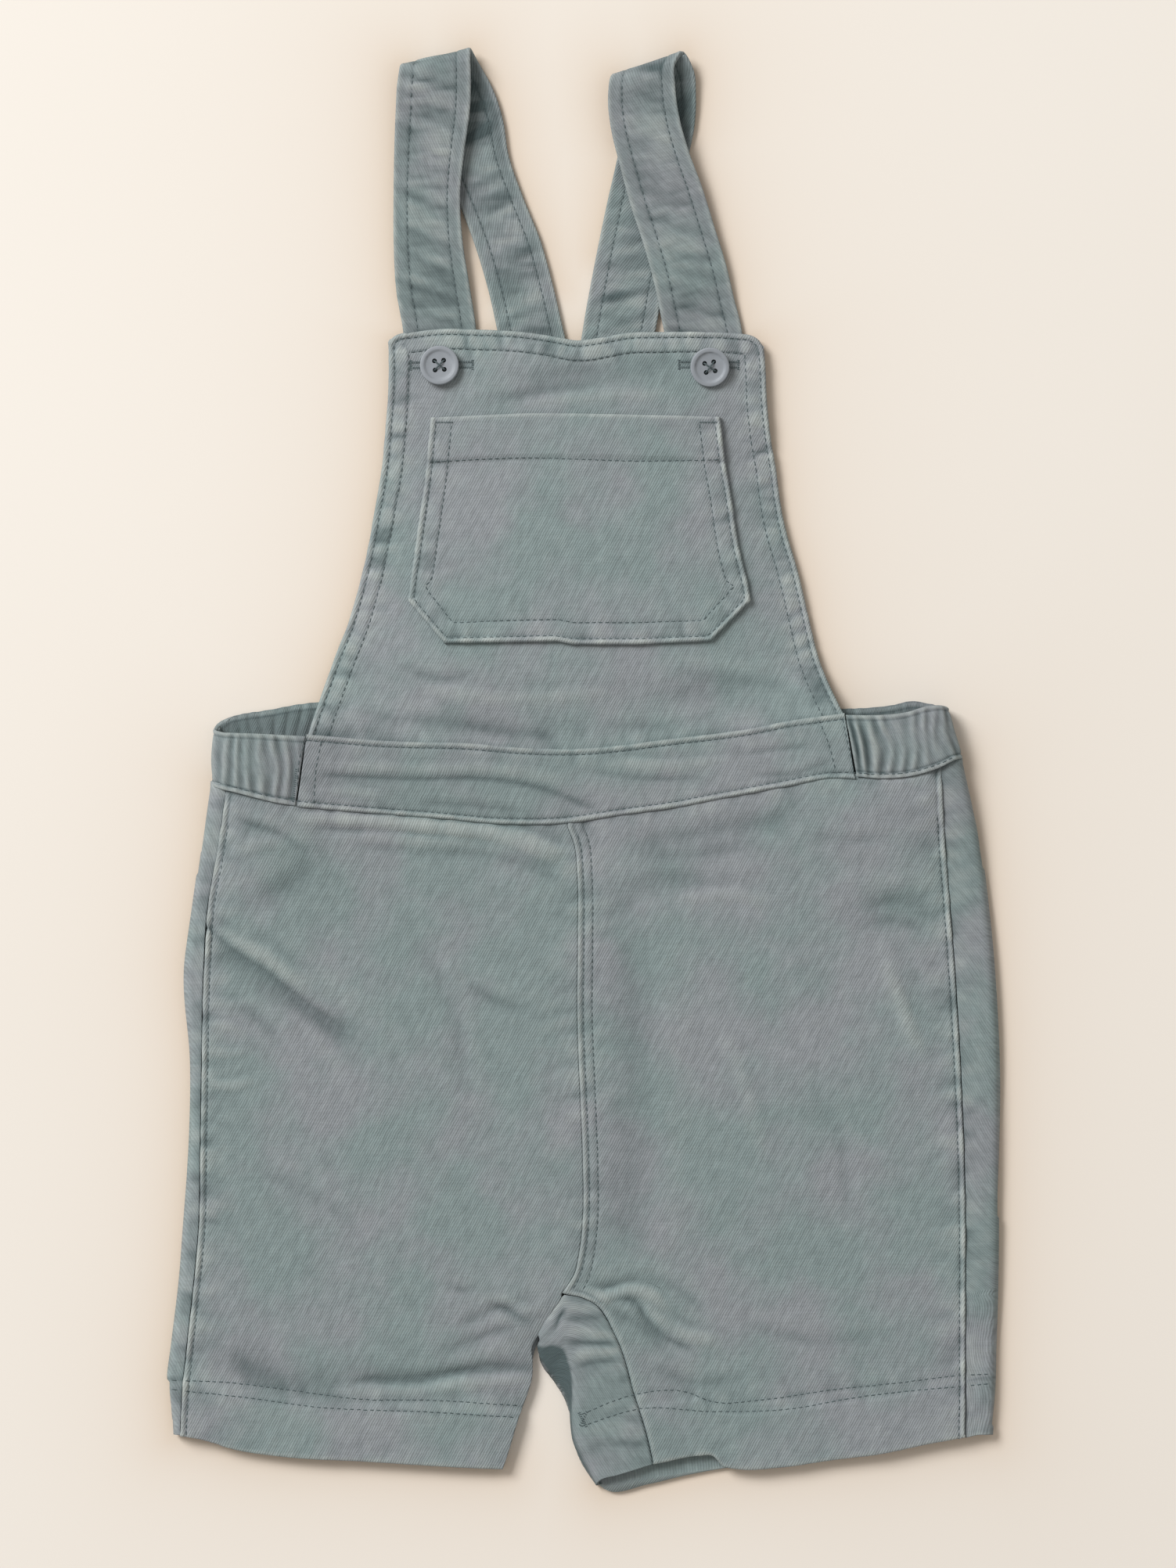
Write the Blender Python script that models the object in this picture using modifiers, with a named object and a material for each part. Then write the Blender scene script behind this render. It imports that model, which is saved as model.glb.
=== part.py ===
"""Short dungarees for a small child, laid flat on their back.

The garment lies in the XY plane: +Y runs from the hems to the shoulder straps, +X is to the right
of someone who looks down on the front, and +Z points up from the surface that it rests on.
All sizes here are millimetres until the points are placed.
"""
import math

import bmesh
import bpy
import numpy as np

MM = 0.001

# Cloth: one layer with its seam allowances, the same turned up double, the bands and the straps
WALL = 1.5
HEM_WALL = 2.1
EDGE_WALL = 1.9
BAND_WALL = 2.2
FRONT_BAND_WALL = 2.0
STRAP_WALL = 1.8
SEAM_GAP = 0.3
LAYER_GAP = 0.4

# Turned parts, measured in from the edge
HEM_DEPTH = 21.0
BIB_EDGE = 5.0
BIB_HEM = 7.5
POCKET_HEM = 16.0

# How the front layer lies above the resting surface, at its underside
LEG_RISE = 3.4
WAIST_FADE = 32.0
BIB_FADE = 15.0
CROTCH_RISE = 0.8
CROTCH_PLACE = (6.0, -204.0)
CROTCH_SPREAD = 26.0
LEAST_RISE = WALL + LAYER_GAP

# Gathers of the elasticated band
GATHER_PITCH = 4.5
GATHER_HEIGHT = 0.45
DEEP_GATHER = 0.95
GATHER_STEPS = 3

# Buttons
BUTTON_WIDTH = 14.4
BUTTON_RIM = 1.35
BUTTON_HEIGHT = 2.5
BUTTON_DISH = 0.55
HOLE_WIDTH = 1.6
HOLE_SPACING = 3.4

# Columns x, y: seams and edges of the legs, each from the waist down
CENTRE_SEAM = (
    (-5.2, -20.2), (-2.6, -27.0), (-1.4, -39.3), (-1.2, -62.5), (-1.4, -91.5), (-0.3, -120.5),
    (0.6, -143.7), (0.6, -166.9), (-0.6, -178.5), (-2.6, -187.2), (-7.2, -194.4),
)
LEFT_INNER_LEG = (
    (-7.2, -194.4), (-12.5, -201.6), (-16.6, -208.7), (-19.4, -214.0), (-19.0, -220.0),
    (-19.2, -224.9), (-20.8, -230.7), (-22.9, -236.5), (-24.9, -242.3), (-27.5, -251.0), (-30.2, -259.3),
)
RIGHT_INSEAM = (
    (-7.2, -194.4), (-0.6, -195.6), (4.8, -198.4), (8.4, -203.1), (10.8, -207.8), (13.6, -213.9),
    (15.9, -221.1), (18.6, -231.3), (21.0, -238.5), (23.5, -247.2), (25.8, -257.3),
)
LEFT_SIDE_SEAM = (
    (-131.1, -8.0), (-134.0, -27.7), (-138.3, -50.9), (-139.8, -74.1), (-140.6, -108.0),
    (-141.2, -143.7), (-141.7, -170.0), (-143.5, -190.1), (-146.0, -213.3), (-147.7, -230.0),
    (-148.6, -246.9),
)
RIGHT_SIDE_SEAM = (
    (131.1, -0.4), (132.8, -27.7), (134.8, -50.9), (136.6, -74.1), (138.6, -108.0), (140.1, -143.7),
    (140.6, -170.0), (140.6, -190.1), (140.6, -213.3), (140.6, -230.0), (140.3, -247.5),
)
LEFT_EDGE = (
    (-138.4, -6.2), (-141.5, -27.7), (-145.0, -50.9), (-147.9, -74.1), (-145.7, -108.0),
    (-146.4, -143.7), (-148.3, -170.0), (-149.9, -190.1), (-152.8, -213.3), (-154.4, -227.0),
    (-152.4, -246.4),
)
RIGHT_EDGE = (
    (140.4, 3.2), (147.0, -27.7), (149.9, -50.9), (152.2, -74.1), (153.9, -108.0), (154.0, -143.7),
    (153.7, -170.0), (153.4, -190.1), (152.8, -213.3), (152.5, -230.0), (151.5, -246.4),
)

# Columns x, y: the band's lower and upper line and the hems, from left to right
BAND_FOOT = (
    (-138.0, -5.7), (-129.3, -8.3), (-122.1, -10.3), (-106.2, -13.4), (-79.8, -15.8), (-54.8, -17.8),
    (-29.0, -20.0), (-5.2, -19.4), (14.5, -16.4), (31.0, -14.2), (53.4, -10.0), (75.4, -5.9),
    (93.1, -2.8), (108.7, -3.6), (119.8, -3.0), (130.8, -0.1), (139.8, 3.9),
)
BAND_HEAD = (
    (-102.6, 12.4), (-71.3, 9.9), (-42.3, 9.1), (-24.9, 7.6), (-1.7, 7.1), (9.9, 8.0), (33.1, 10.9),
    (62.1, 14.6), (73.7, 17.0), (96.5, 20.3),
)
LEFT_HEM = (
    (-148.6, -246.9), (-140.9, -248.4), (-129.3, -251.9), (-111.9, -254.5), (-82.9, -256.2),
    (-48.1, -258.4), (-30.2, -259.3),
)
RIGHT_HEM = (
    (25.8, -257.3), (30.2, -256.5), (42.3, -254.2), (47.8, -254.2), (51.6, -258.0), (57.0, -259.1),
    (73.1, -258.5), (91.3, -255.9), (109.6, -253.6), (127.9, -249.8), (140.3, -247.5),
)

# Columns x, y: outline of the bib
BIB_LEFT = (
    (-102.4, 12.4), (-96.3, 30.3), (-92.2, 41.9), (-87.6, 53.5), (-84.1, 65.1), (-81.2, 76.7),
    (-78.9, 88.3),
    (-76.8, 99.9), (-74.8, 111.5), (-73.7, 123.1), (-72.6, 137.0), (-72.2, 148.0), (-72.4, 159.0),
)
BIB_RIGHT = (
    (96.4, 20.3), (91.6, 30.3), (87.0, 41.9), (84.1, 53.5), (81.5, 65.1), (78.6, 76.7), (75.1, 88.3),
    (72.8, 99.9), (71.3, 111.5), (69.3, 123.1), (67.8, 137.0), (67.4, 147.0), (66.8, 157.0),
)
BIB_HEAD = (
    (-72.4, 159.0), (-69.9, 161.2), (-62.6, 162.5), (-53.1, 163.5), (-38.9, 163.2), (-24.4, 162.5),
    (-11.9, 160.8), (-2.6, 159.1), (6.4, 160.1), (14.2, 161.7), (28.7, 162.3), (47.8, 162.3),
    (57.4, 161.9), (63.6, 160.6), (66.8, 157.0),
)

# Columns y, middle, edge: underside of the bib above the resting surface
BIB_RISE = (
    (7.0, 2.8, 1.0), (22.0, 3.3, 1.0), (34.0, 4.7, 1.0), (46.0, 4.8, 0.8), (60.0, 4.6, 0.7),
    (115.0, 4.6, 1.0), (130.0, 4.8, 2.0), (141.0, 4.9, 2.2), (149.0, 4.8, 2.2), (156.0, 4.1, 2.1),
    (164.0, 3.2, 2.1),
)

# Columns x, y: outline of the pocket, whose lower corners are cut off
POCKET_LEFT = ((-65.1, 62.8), (-64.6, 66.5), (-60.9, 92.7), (-58.3, 111.8), (-57.4, 121.4), (-56.5, 130.6))
POCKET_RIGHT = ((61.8, 62.8), (61.3, 66.5), (57.4, 83.1), (54.5, 102.2), (52.2, 115.6), (50.4, 130.9))
POCKET_HEAD = ((-56.5, 130.6), (-19.4, 132.1), (9.3, 131.8), (50.4, 130.9))
POCKET_FOOT = (
    (-65.1, 62.8), (-51.6, 47.0), (-30.0, 47.3), (-9.9, 47.7), (-4.1, 46.5), (19.1, 46.5), (47.0, 47.8),
    (61.8, 62.8),
)

# Columns x, z: underside of the front layer along the waist
WAIST_RISE = (
    (-139.0, 3.4), (-134.0, 6.4), (-128.0, 7.8), (-120.0, 8.1), (-112.0, 7.6), (-105.0, 6.8), (-92.0, 5.2),
    (-70.0, 3.9), (-40.0, 3.1), (0.0, 2.8), (40.0, 3.1), (65.0, 4.0), (84.0, 5.5), (99.0, 6.8),
    (107.0, 7.7), (118.0, 8.3), (127.0, 8.2), (134.0, 7.0), (140.5, 3.6),
)

# Columns x_head, y_head, x_foot, y_foot, z: outer face of the elasticated band, from its left end
# on the front, round the left side, across the back and round to its right end
ELASTIC = (
    (-102.9, 12.6, -106.6, -13.2, 9.0),
    (-111.0, 13.0, -113.0, -12.2, 9.8),
    (-120.0, 13.5, -121.0, -10.3, 10.3),
    (-128.5, 13.8, -129.0, -8.2, 10.0),
    (-134.2, 14.2, -134.8, -6.8, 8.5),
    (-137.0, 15.4, -137.9, -5.6, 5.6),
    (-136.0, 17.4, -136.8, -4.9, 2.3),
    (-132.4, 19.4, -132.8, -4.4, 0.4),
    (-127.0, 20.8, -127.0, -4.0, 0.0),
    (-117.7, 22.2, -117.7, -3.6, 0.0),
    (-106.0, 24.4, -106.0, -3.3, 0.0),
    (-60.0, 25.1, -60.0, -3.2, 0.0),
    (0.0, 25.1, 0.0, -3.2, 0.0),
    (60.0, 24.8, 60.0, -3.1, 0.0),
    (97.7, 22.8, 97.7, -2.9, 0.0),
    (107.9, 23.3, 108.0, -2.7, 0.0),
    (115.1, 24.2, 116.0, -2.3, 0.0),
    (121.5, 25.6, 123.5, -1.6, 0.0),
    (127.5, 24.8, 131.0, -0.5, 0.0),
    (131.9, 24.0, 136.4, 1.2, 0.5),
    (134.4, 23.6, 139.2, 2.9, 2.8),
    (134.9, 23.4, 140.1, 4.2, 5.8),
    (133.0, 23.9, 137.8, 3.9, 8.9),
    (127.5, 23.8, 131.0, 0.7, 10.4),
    (119.0, 21.4, 120.5, -2.3, 10.5),
    (109.6, 20.4, 111.0, -3.1, 9.9),
    (96.9, 20.5, 101.0, -2.4, 9.0),
)

# Columns x_left, y_left, z_left, x_right, y_right, z_right: middle of each strap's cloth, from the
# button end under the bib, over the fold at the shoulder and down the back to the waistband
STRAP_LEFT = (
    (-66.4, 134.6, 0.9, -39.7, 134.6, 0.9),
    (-66.4, 150.7, 0.9, -39.7, 151.2, 0.9),
    (-67.0, 162.5, 1.0, -40.0, 163.7, 1.0),
    (-69.6, 178.2, 2.0, -42.3, 179.4, 2.2),
    (-70.5, 195.6, 3.0, -44.9, 196.2, 3.2),
    (-70.5, 213.0, 3.6, -45.8, 213.0, 4.0),
    (-70.2, 230.4, 4.4, -44.1, 230.4, 4.8),
    (-69.6, 244.9, 5.6, -42.0, 246.4, 6.0),
    (-69.0, 254.3, 6.7, -41.8, 258.0, 7.2),
    (-68.1, 259.6, 6.3, -42.0, 265.0, 6.8),
    (-67.6, 261.1, 4.2, -41.8, 267.2, 4.4),
    (-66.1, 259.0, 1.9, -39.4, 263.4, 2.2),
    (-62.6, 250.7, 1.1, -33.6, 252.7, 1.2),
    (-57.4, 239.1, 0.9, -29.9, 241.1, 0.9),
    (-53.4, 227.5, 0.9, -28.0, 229.0, 0.9),
    (-46.7, 211.6, 0.9, -22.6, 213.0, 0.9),
    (-40.6, 195.6, 0.9, -16.2, 197.1, 0.9),
    (-35.4, 178.2, 0.9, -11.3, 179.7, 0.9),
    (-31.9, 162.5, 0.9, -7.6, 163.7, 0.9),
    (-23.8, 122.0, 0.9, 2.2, 125.5, 0.9),
    (-14.4, 80.0, 0.9, 11.4, 84.0, 0.9),
    (-5.0, 40.0, 0.9, 20.5, 42.0, 0.9),
    (-1.8, 25.6, 0.9, 23.9, 25.6, 0.9),
)
STRAP_RIGHT = (
    (36.8, 134.6, 0.9, 62.8, 137.6, 0.9),
    (33.9, 146.6, 0.9, 60.0, 152.6, 0.9),
    (30.4, 160.8, 1.0, 58.3, 166.0, 0.9),
    (28.6, 169.0, 2.3, 55.9, 175.0, 1.4),
    (26.7, 178.2, 3.1, 53.4, 185.5, 2.2),
    (22.0, 195.6, 3.6, 48.1, 202.9, 3.2),
    (17.4, 209.5, 4.1, 43.8, 216.5, 4.2),
    (13.3, 224.6, 4.9, 39.1, 229.0, 5.1),
    (10.1, 237.7, 5.9, 35.4, 242.0, 6.1),
    (9.0, 247.8, 6.9, 33.9, 253.0, 7.2),
    (9.6, 254.9, 7.1, 34.0, 261.9, 7.6),
    (10.7, 257.1, 4.8, 37.0, 266.0, 5.2),
    (12.5, 255.0, 2.4, 40.6, 260.4, 3.0),
    (14.8, 247.8, 1.3, 41.7, 250.1, 1.6),
    (14.5, 237.7, 1.0, 41.2, 239.7, 1.1),
    (12.2, 226.1, 0.9, 38.9, 228.0, 0.9),
    (9.0, 212.1, 0.9, 35.1, 208.9, 0.9),
    (4.9, 192.4, 0.9, 31.0, 188.2, 0.9),
    (0.3, 167.8, 0.9, 26.7, 163.5, 0.9),
    (-1.4, 157.5, 2.1, 24.6, 153.0, 0.9),
    (-3.2, 149.5, 3.4, 22.8, 145.0, 0.9),
    (-5.4, 140.5, 3.5, 20.6, 135.5, 1.5),
    (-8.6, 127.5, 3.3, 17.4, 122.5, 2.9),
    (-12.9, 110.0, 3.1, 13.1, 104.5, 3.1),
    (-19.2, 84.0, 3.1, 6.7, 78.5, 3.1),
    (-25.8, 57.0, 3.0, 0.2, 51.5, 3.2),
    (-28.3, 46.5, 1.9, -2.3, 41.5, 3.5),
    (-30.0, 39.5, 1.0, -4.1, 35.0, 3.3),
    (-31.6, 32.5, 0.9, -5.6, 29.8, 1.7),
    (-33.0, 25.6, 0.9, -7.2, 25.6, 0.9),
)

# Columns lip_x, lip_y, lip_z, edge_x, edge_y: how the back of the right leg comes round the inner
# leg, one row for each point of its inseam, from the crotch to the hem
INNER_WRAP = (
    (-15.9, -211.9, 2.25, -15.9, -214.4),
    (-15.0, -212.6, 2.7, -15.8, -217.4),
    (-11.2, -211.9, 3.3, -14.2, -221.2),
    (-7.4, -213.3, 3.8, -11.6, -224.6),
    (-5.2, -217.2, 4.0, -9.2, -228.0),
    (-3.9, -222.2, 4.0, -7.2, -231.2),
    (-3.2, -227.0, 4.0, -5.6, -235.0),
    (-3.0, -233.0, 3.9, -4.4, -239.4),
    (-2.9, -239.5, 3.9, -3.9, -244.2),
    (-2.2, -246.0, 3.8, -3.1, -249.6),
    (1.2, -254.0, 3.7, -0.2, -256.8),
    (6.2, -263.2, 3.6, 5.4, -265.4),
)

# The end of the left inseam that the wrap starts from, columns x, y, and its height there
SEAM_TURN = ((-16.3, -209.4), (-12.3, -202.0))
SEAM_TURN_RISE = (2.3, 2.9)

# Columns x, y: the back seam on the resting surface and the back hem, where it shows
BACK_SEAM = (
    (0.6, -3.6), (0.4, -60.0), (0.2, -120.0), (0.0, -165.0), (-2.5, -185.0), (-8.5, -200.0),
    (-17.8, -214.4),
)
BACK_HEM_RIGHT = (
    (5.4, -265.4), (8.4, -267.4), (24.1, -265.2), (37.7, -262.0), (52.2, -259.3), (73.0, -257.7),
    (109.6, -252.9), (140.3, -247.0), (151.0, -246.2),
)

# Columns width, height, points: soft folds of the front, ridges above zero and troughs below
FRONT_FOLDS = (
    (5.5, -1.0, ((-136, -65), (-116, -79), (-91, -96), (-84, -100))),
    (4.5, -0.6, ((-121, -49), (-105, -39), (-99, -31))),
    (5.0, 0.8, ((-86, -24), (-41, -26), (-21, -29), (-9, -34))),
    (6.0, -0.9, ((-22, -223), (-34, -222), (-60, -226), (-112, -227), (-132, -218))),
    (5.0, -0.8, ((20, -29), (49, -23), (78, -17))),
    (5.0, -0.6, ((10, -54), (24, -42), (49, -41))),
    (4.5, -0.8, ((102, -52), (118, -49), (130, -54))),
    (3.5, 0.5, ((111, -67), (118, -89), (124, -102))),
    (8.0, -0.5, ((18, -62), (19, -120), (17, -178))),
    (4.5, -0.8, ((3, -193), (16, -194), (30, -206), (36, -208))),
    (5.0, -0.6, ((-22, 142), (-4, 147), (36, 151))),
    (5.0, -0.5, ((-55, 20), (-31, 17), (4, 15))),
    (5.0, -0.4, ((30, 28), (60, 30))),
    (4.0, -0.3, ((-97, -2), (-34, -3), (-13, -7), (8, -15))),
)

BUTTONS = {"button_left": (-53.4, 149.9), "button_right": (46.7, 149.2)}

CLOTH = ((0.24, 0.29, 0.29, 1.0), 0.85)
STRAP_CLOTH = ((0.22, 0.265, 0.26, 1.0), 0.85)
BUTTON_PLASTIC = ((0.28, 0.31, 0.35, 1.0), 0.4)


def clear_scene():
    for thing in list(bpy.data.objects):
        bpy.data.objects.remove(thing, do_unlink=True)


def new_collection(name):
    group = bpy.data.collections.new(name)
    bpy.context.scene.collection.children.link(group)
    return group


def new_material(name, colour, roughness):
    material = bpy.data.materials.new(name)
    material.use_nodes = True
    shader = material.node_tree.nodes["Principled BSDF"]
    shader.inputs["Base Color"].default_value = colour
    shader.inputs["Roughness"].default_value = roughness
    shader.inputs["Metallic"].default_value = 0.0
    return material


def value_at(table, place, column=1):
    """The value of one column where the table's first column has this value."""
    table = np.array(table, float)
    return np.interp(place, table[:, 0], table[:, column])


def smooth_line(points, steps=10):
    """Close points on a smooth line through the given ones, of two or more columns."""
    knots = np.array(points, float)
    spans = np.linalg.norm(np.diff(knots, axis=0), axis=1)
    reach = np.concatenate([[0.0], np.cumsum(spans)])
    slopes = np.gradient(knots, reach, axis=0)
    line = []
    for i, span in enumerate(spans):
        for t in np.arange(steps) / steps:
            line.append(
                (2 * t**3 - 3 * t**2 + 1) * knots[i] + (t**3 - 2 * t**2 + t) * span * slopes[i]
                + (3 * t**2 - 2 * t**3) * knots[i + 1] + (t**3 - t**2) * span * slopes[i + 1]
            )
    return np.array(line + [knots[-1]])


def along(points, fractions, smooth=True):
    """Points at these fractions of the length of a line through the given ones."""
    line = smooth_line(points) if smooth else np.array(points, float)
    reach = np.concatenate([[0.0], np.cumsum(np.linalg.norm(np.diff(line, axis=0), axis=1))])
    wanted = np.asarray(fractions) * reach[-1]
    return np.stack([np.interp(wanted, reach, line[:, axis]) for axis in range(line.shape[1])], axis=1)


def even(count):
    return np.linspace(0.0, 1.0, count)


def near_edges(count, first, last):
    """Even fractions with one close to each end."""
    return np.concatenate([[0.0], np.linspace(first, 1.0 - last, count - 2), [1.0]])


def lengths(line):
    """Fractions of a line's length at its points."""
    reach = np.concatenate([[0.0], np.cumsum(np.linalg.norm(np.diff(line, axis=0), axis=1))])
    return reach / reach[-1]


def stretch_between(left, right, head, foot, across, down):
    """A net of points between four edges, as rows from the head to the foot."""
    u = across[None, :, None]
    v = down[:, None, None]
    sides = (1 - u) * left[:, None, :] + u * right[:, None, :]
    ends = (1 - v) * head[None, :, :] + v * foot[None, :, :]
    corners = (
        (1 - u) * (1 - v) * left[0] + u * (1 - v) * right[0] + (1 - u) * v * left[-1] + u * v * right[-1]
    )
    return sides + ends - corners


def between(table, start, end):
    """The stretch of a left-to-right line between two places, with an end point at each."""
    points = np.array(table, float)
    inside = points[(points[:, 0] > start + 1.0) & (points[:, 0] < end - 1.0)]
    ends = [(place, value_at(table, place)) for place in (start, end)]
    return np.vstack([ends[:1], inside, ends[1:]])


def relief(x, y):
    """Height of the soft folds at each point."""
    total = np.zeros_like(x)
    for width, height, points in FRONT_FOLDS:
        away = np.full_like(x, 1000.0)
        for (x0, y0), (x1, y1) in zip(points, points[1:]):
            dx, dy = x1 - x0, y1 - y0
            part = np.clip(((x - x0) * dx + (y - y0) * dy) / (dx * dx + dy * dy), 0.0, 1.0)
            away = np.minimum(away, np.hypot(x - x0 - part * dx, y - y0 - part * dy))
        total += height * np.exp(-((away / width) ** 2))
    return total


def leg_rise(x, y):
    """Underside of the front legs above the resting surface."""
    below_band = np.maximum(value_at(BAND_FOOT, x) - y, 0.0)
    fade = np.exp(-((below_band / WAIST_FADE) ** 2))
    from_crotch = np.hypot(x - CROTCH_PLACE[0], y - CROTCH_PLACE[1])
    crotch = CROTCH_RISE * np.exp(-((from_crotch / CROTCH_SPREAD) ** 2))
    rise = LEG_RISE + (value_at(WAIST_RISE, x) - LEG_RISE) * fade + crotch + relief(x, y)
    return np.maximum(rise, LEAST_RISE)


def bib_rise(x, y):
    """Underside of the bib: it lies on the straps, low at its side edges."""
    left = value_at([(b, a) for a, b in BIB_LEFT], y)
    right = value_at([(b, a) for a, b in BIB_RIGHT], y)
    side = np.clip(np.abs(2 * (x - left) / (right - left) - 1), 0.0, 1.0)
    middle = value_at(BIB_RISE, y, 1)
    edge = value_at(BIB_RISE, y, 2)
    lying = edge + (middle - edge) * (1 - side**2.5)
    above_band = np.maximum(y - value_at(BAND_HEAD, x), 0.0)
    fade = np.exp(-((above_band / BIB_FADE) ** 2))
    return lying + (value_at(WAIST_RISE, x) - lying) * fade + relief(x, y)


def link(thing, material, group):
    thing.data.materials.append(material)
    group.objects.link(thing)
    return thing


def cloth(name, nets, wall, facing, offset, material, group):
    """A wall of cloth from nets of points; each net has its points and its share of the thickness."""
    bm = bmesh.new()
    share_layer = bm.verts.layers.deform.verify()
    for points, share in nets:
        rows, columns = points.shape[:2]
        made = bmesh.ops.create_grid(bm, x_segments=columns - 1, y_segments=rows - 1, size=0.5)
        for vert in made["verts"]:
            column = round((vert.co.x + 0.5) * (columns - 1))
            row = round((vert.co.y + 0.5) * (rows - 1))
            vert.co = points[row, column] * MM
            vert[share_layer][0] = float(share[row, column])
    bmesh.ops.remove_doubles(bm, verts=bm.verts, dist=0.00005)
    bmesh.ops.recalc_face_normals(bm, faces=bm.faces)
    if sum(face.normal.z * face.calc_area() for face in bm.faces) * facing < 0:
        bmesh.ops.reverse_faces(bm, faces=bm.faces)
    mesh = bpy.data.meshes.new(name)
    bm.to_mesh(mesh)
    bm.free()
    thing = bpy.data.objects.new(name, mesh)
    thing.vertex_groups.new(name="thickness")
    shell = thing.modifiers.new("wall", "SOLIDIFY")
    shell.thickness = wall * MM
    shell.offset = offset
    shell.vertex_group = "thickness"
    return link(thing, material, group)


def with_height(flat, rise):
    """Points of a flat net, lifted to their height."""
    return np.dstack([flat, rise])


def seam_side(line, side):
    """A seam line moved to one side by half the gap between two pieces."""
    run = np.gradient(line, axis=0)
    run /= np.linalg.norm(run, axis=1)[:, None]
    return line + side * 0.5 * SEAM_GAP * np.stack([run[:, 1], -run[:, 0]], axis=1)


def hem_share(flat, foot_y, depth, plain, double):
    """Share of the thickness: full in the hem and less above it."""
    return np.where(flat[:, :, 1] < foot_y[None, :] + depth, 1.0, plain / double)


def leg_lines():
    """The seams that the leg pieces share, each as points from the waist to the hem."""
    centre = along(CENTRE_SEAM, even(14))
    left_inner = np.vstack([centre, along(LEFT_INNER_LEG, even(9))[1:]])
    inseam = along(RIGHT_INSEAM, even(11))
    return centre, left_inner, inseam


def make_front_legs(material, group):
    centre, left_inner, inseam = leg_lines()
    right_inner = np.vstack([centre, inseam[1:]])
    jobs = (
        ("front_leg_left", LEFT_SIDE_SEAM, left_inner, LEFT_HEM, True),
        ("front_leg_right", RIGHT_SIDE_SEAM, right_inner, RIGHT_HEM, False),
    )
    for name, side_seam, inner, hem, is_left in jobs:
        down = lengths(inner)
        outer = along(side_seam, down)
        hem_line = smooth_line(hem)
        left, right = (outer, inner) if is_left else (inner, outer)
        left = seam_side(left, -1)
        right = seam_side(right, 1)
        across = near_edges(14, 0.035, 0.035)
        head = along(between(BAND_FOOT, left[0, 0], right[0, 0]), across)
        head[:, 1] -= SEAM_GAP
        left[0], right[0] = head[0], head[-1]
        foot = along(hem_line, across, smooth=False)
        left[-1], right[-1] = foot[0], foot[-1]
        flat = stretch_between(left, right, head, foot, across, down)
        rise = leg_rise(flat[:, :, 0], flat[:, :, 1])
        if is_left:
            free = np.arange(len(down)) >= len(centre)
            in_hem = flat[free, -1, 1] < foot[-1, 1] + 1.3 * HEM_DEPTH
            rise[free, -1] = np.where(in_hem, HEM_WALL, WALL) + LAYER_GAP
            rise[free, -2] = 0.5 * (rise[free, -2] + rise[free, -3])
        share = hem_share(flat, foot[:, 1], HEM_DEPTH, WALL, HEM_WALL)
        cloth(name, [(with_height(flat, rise), share)], HEM_WALL, 1, 1.0, material, group)


def round_side(seam, edge, rise, under, side, wall):
    """Inner face of a leg from its seam on the front, round the side, to the resting layer."""
    inner_edge = edge[0] - side * wall
    middle = 0.5 * (rise + under)
    half = 0.5 * (rise - under)
    turn = min(3.0, 0.45 * abs(inner_edge - seam[0]))
    points = [(seam[0], seam[1], rise), (inner_edge - side * turn, edge[1], rise)]
    for angle in (50, 0, -50):
        swing = math.radians(angle)
        points.append((
            inner_edge - side * turn * (1 - math.cos(swing)), edge[1], middle + half * math.sin(swing),
        ))
    points.append((inner_edge - side * turn, edge[1], under))
    return points


def back_head(x):
    """Upper edge of the back legs, just below the foot of the elasticated band."""
    resting = np.array([row for row in ELASTIC if row[4] < 3.0])
    return np.interp(x, resting[:, 2], resting[:, 3]) - 2.5 * SEAM_GAP


def make_back_leg_left(material, group):
    upper = along(BACK_SEAM, even(14))
    lower = along(BACK_SEAM[-1:] + LEFT_INNER_LEG[4:], even(8))
    inner = seam_side(np.vstack([upper, lower[1:]]), 1)
    down = lengths(inner)
    seams = seam_side(along(LEFT_SIDE_SEAM, down), 1)
    edges = along(LEFT_EDGE, down)
    rise = leg_rise(seams[:, 0], seams[:, 1])
    across = near_edges(9, 0.1, 0.03)
    rows, shares = [], []
    for row, (seam, edge, end) in enumerate(zip(seams, edges, inner)):
        in_hem = edge[1] < LEFT_EDGE[-1][1] + HEM_DEPTH
        under = HEM_WALL if in_hem else WALL
        points = round_side(seam, edge, rise[row], under, -1, under)
        last = points[-1]
        for part in across[1:]:
            x, y = np.array(last[:2]) + part * (end - last[:2])
            points.append((x, y, under))
        rows.append(points)
        shares.append([under / HEM_WALL] * len(points))
    net = np.array(rows)
    net[0, :3, 1] = value_at(BAND_FOOT, net[0, :3, 0]) - 2 * SEAM_GAP
    net[0, 3:, 1] = back_head(net[0, 3:, 0])
    cloth("back_leg_left", [(net, np.array(shares))], HEM_WALL, -1, 1.0, material, group)


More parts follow.
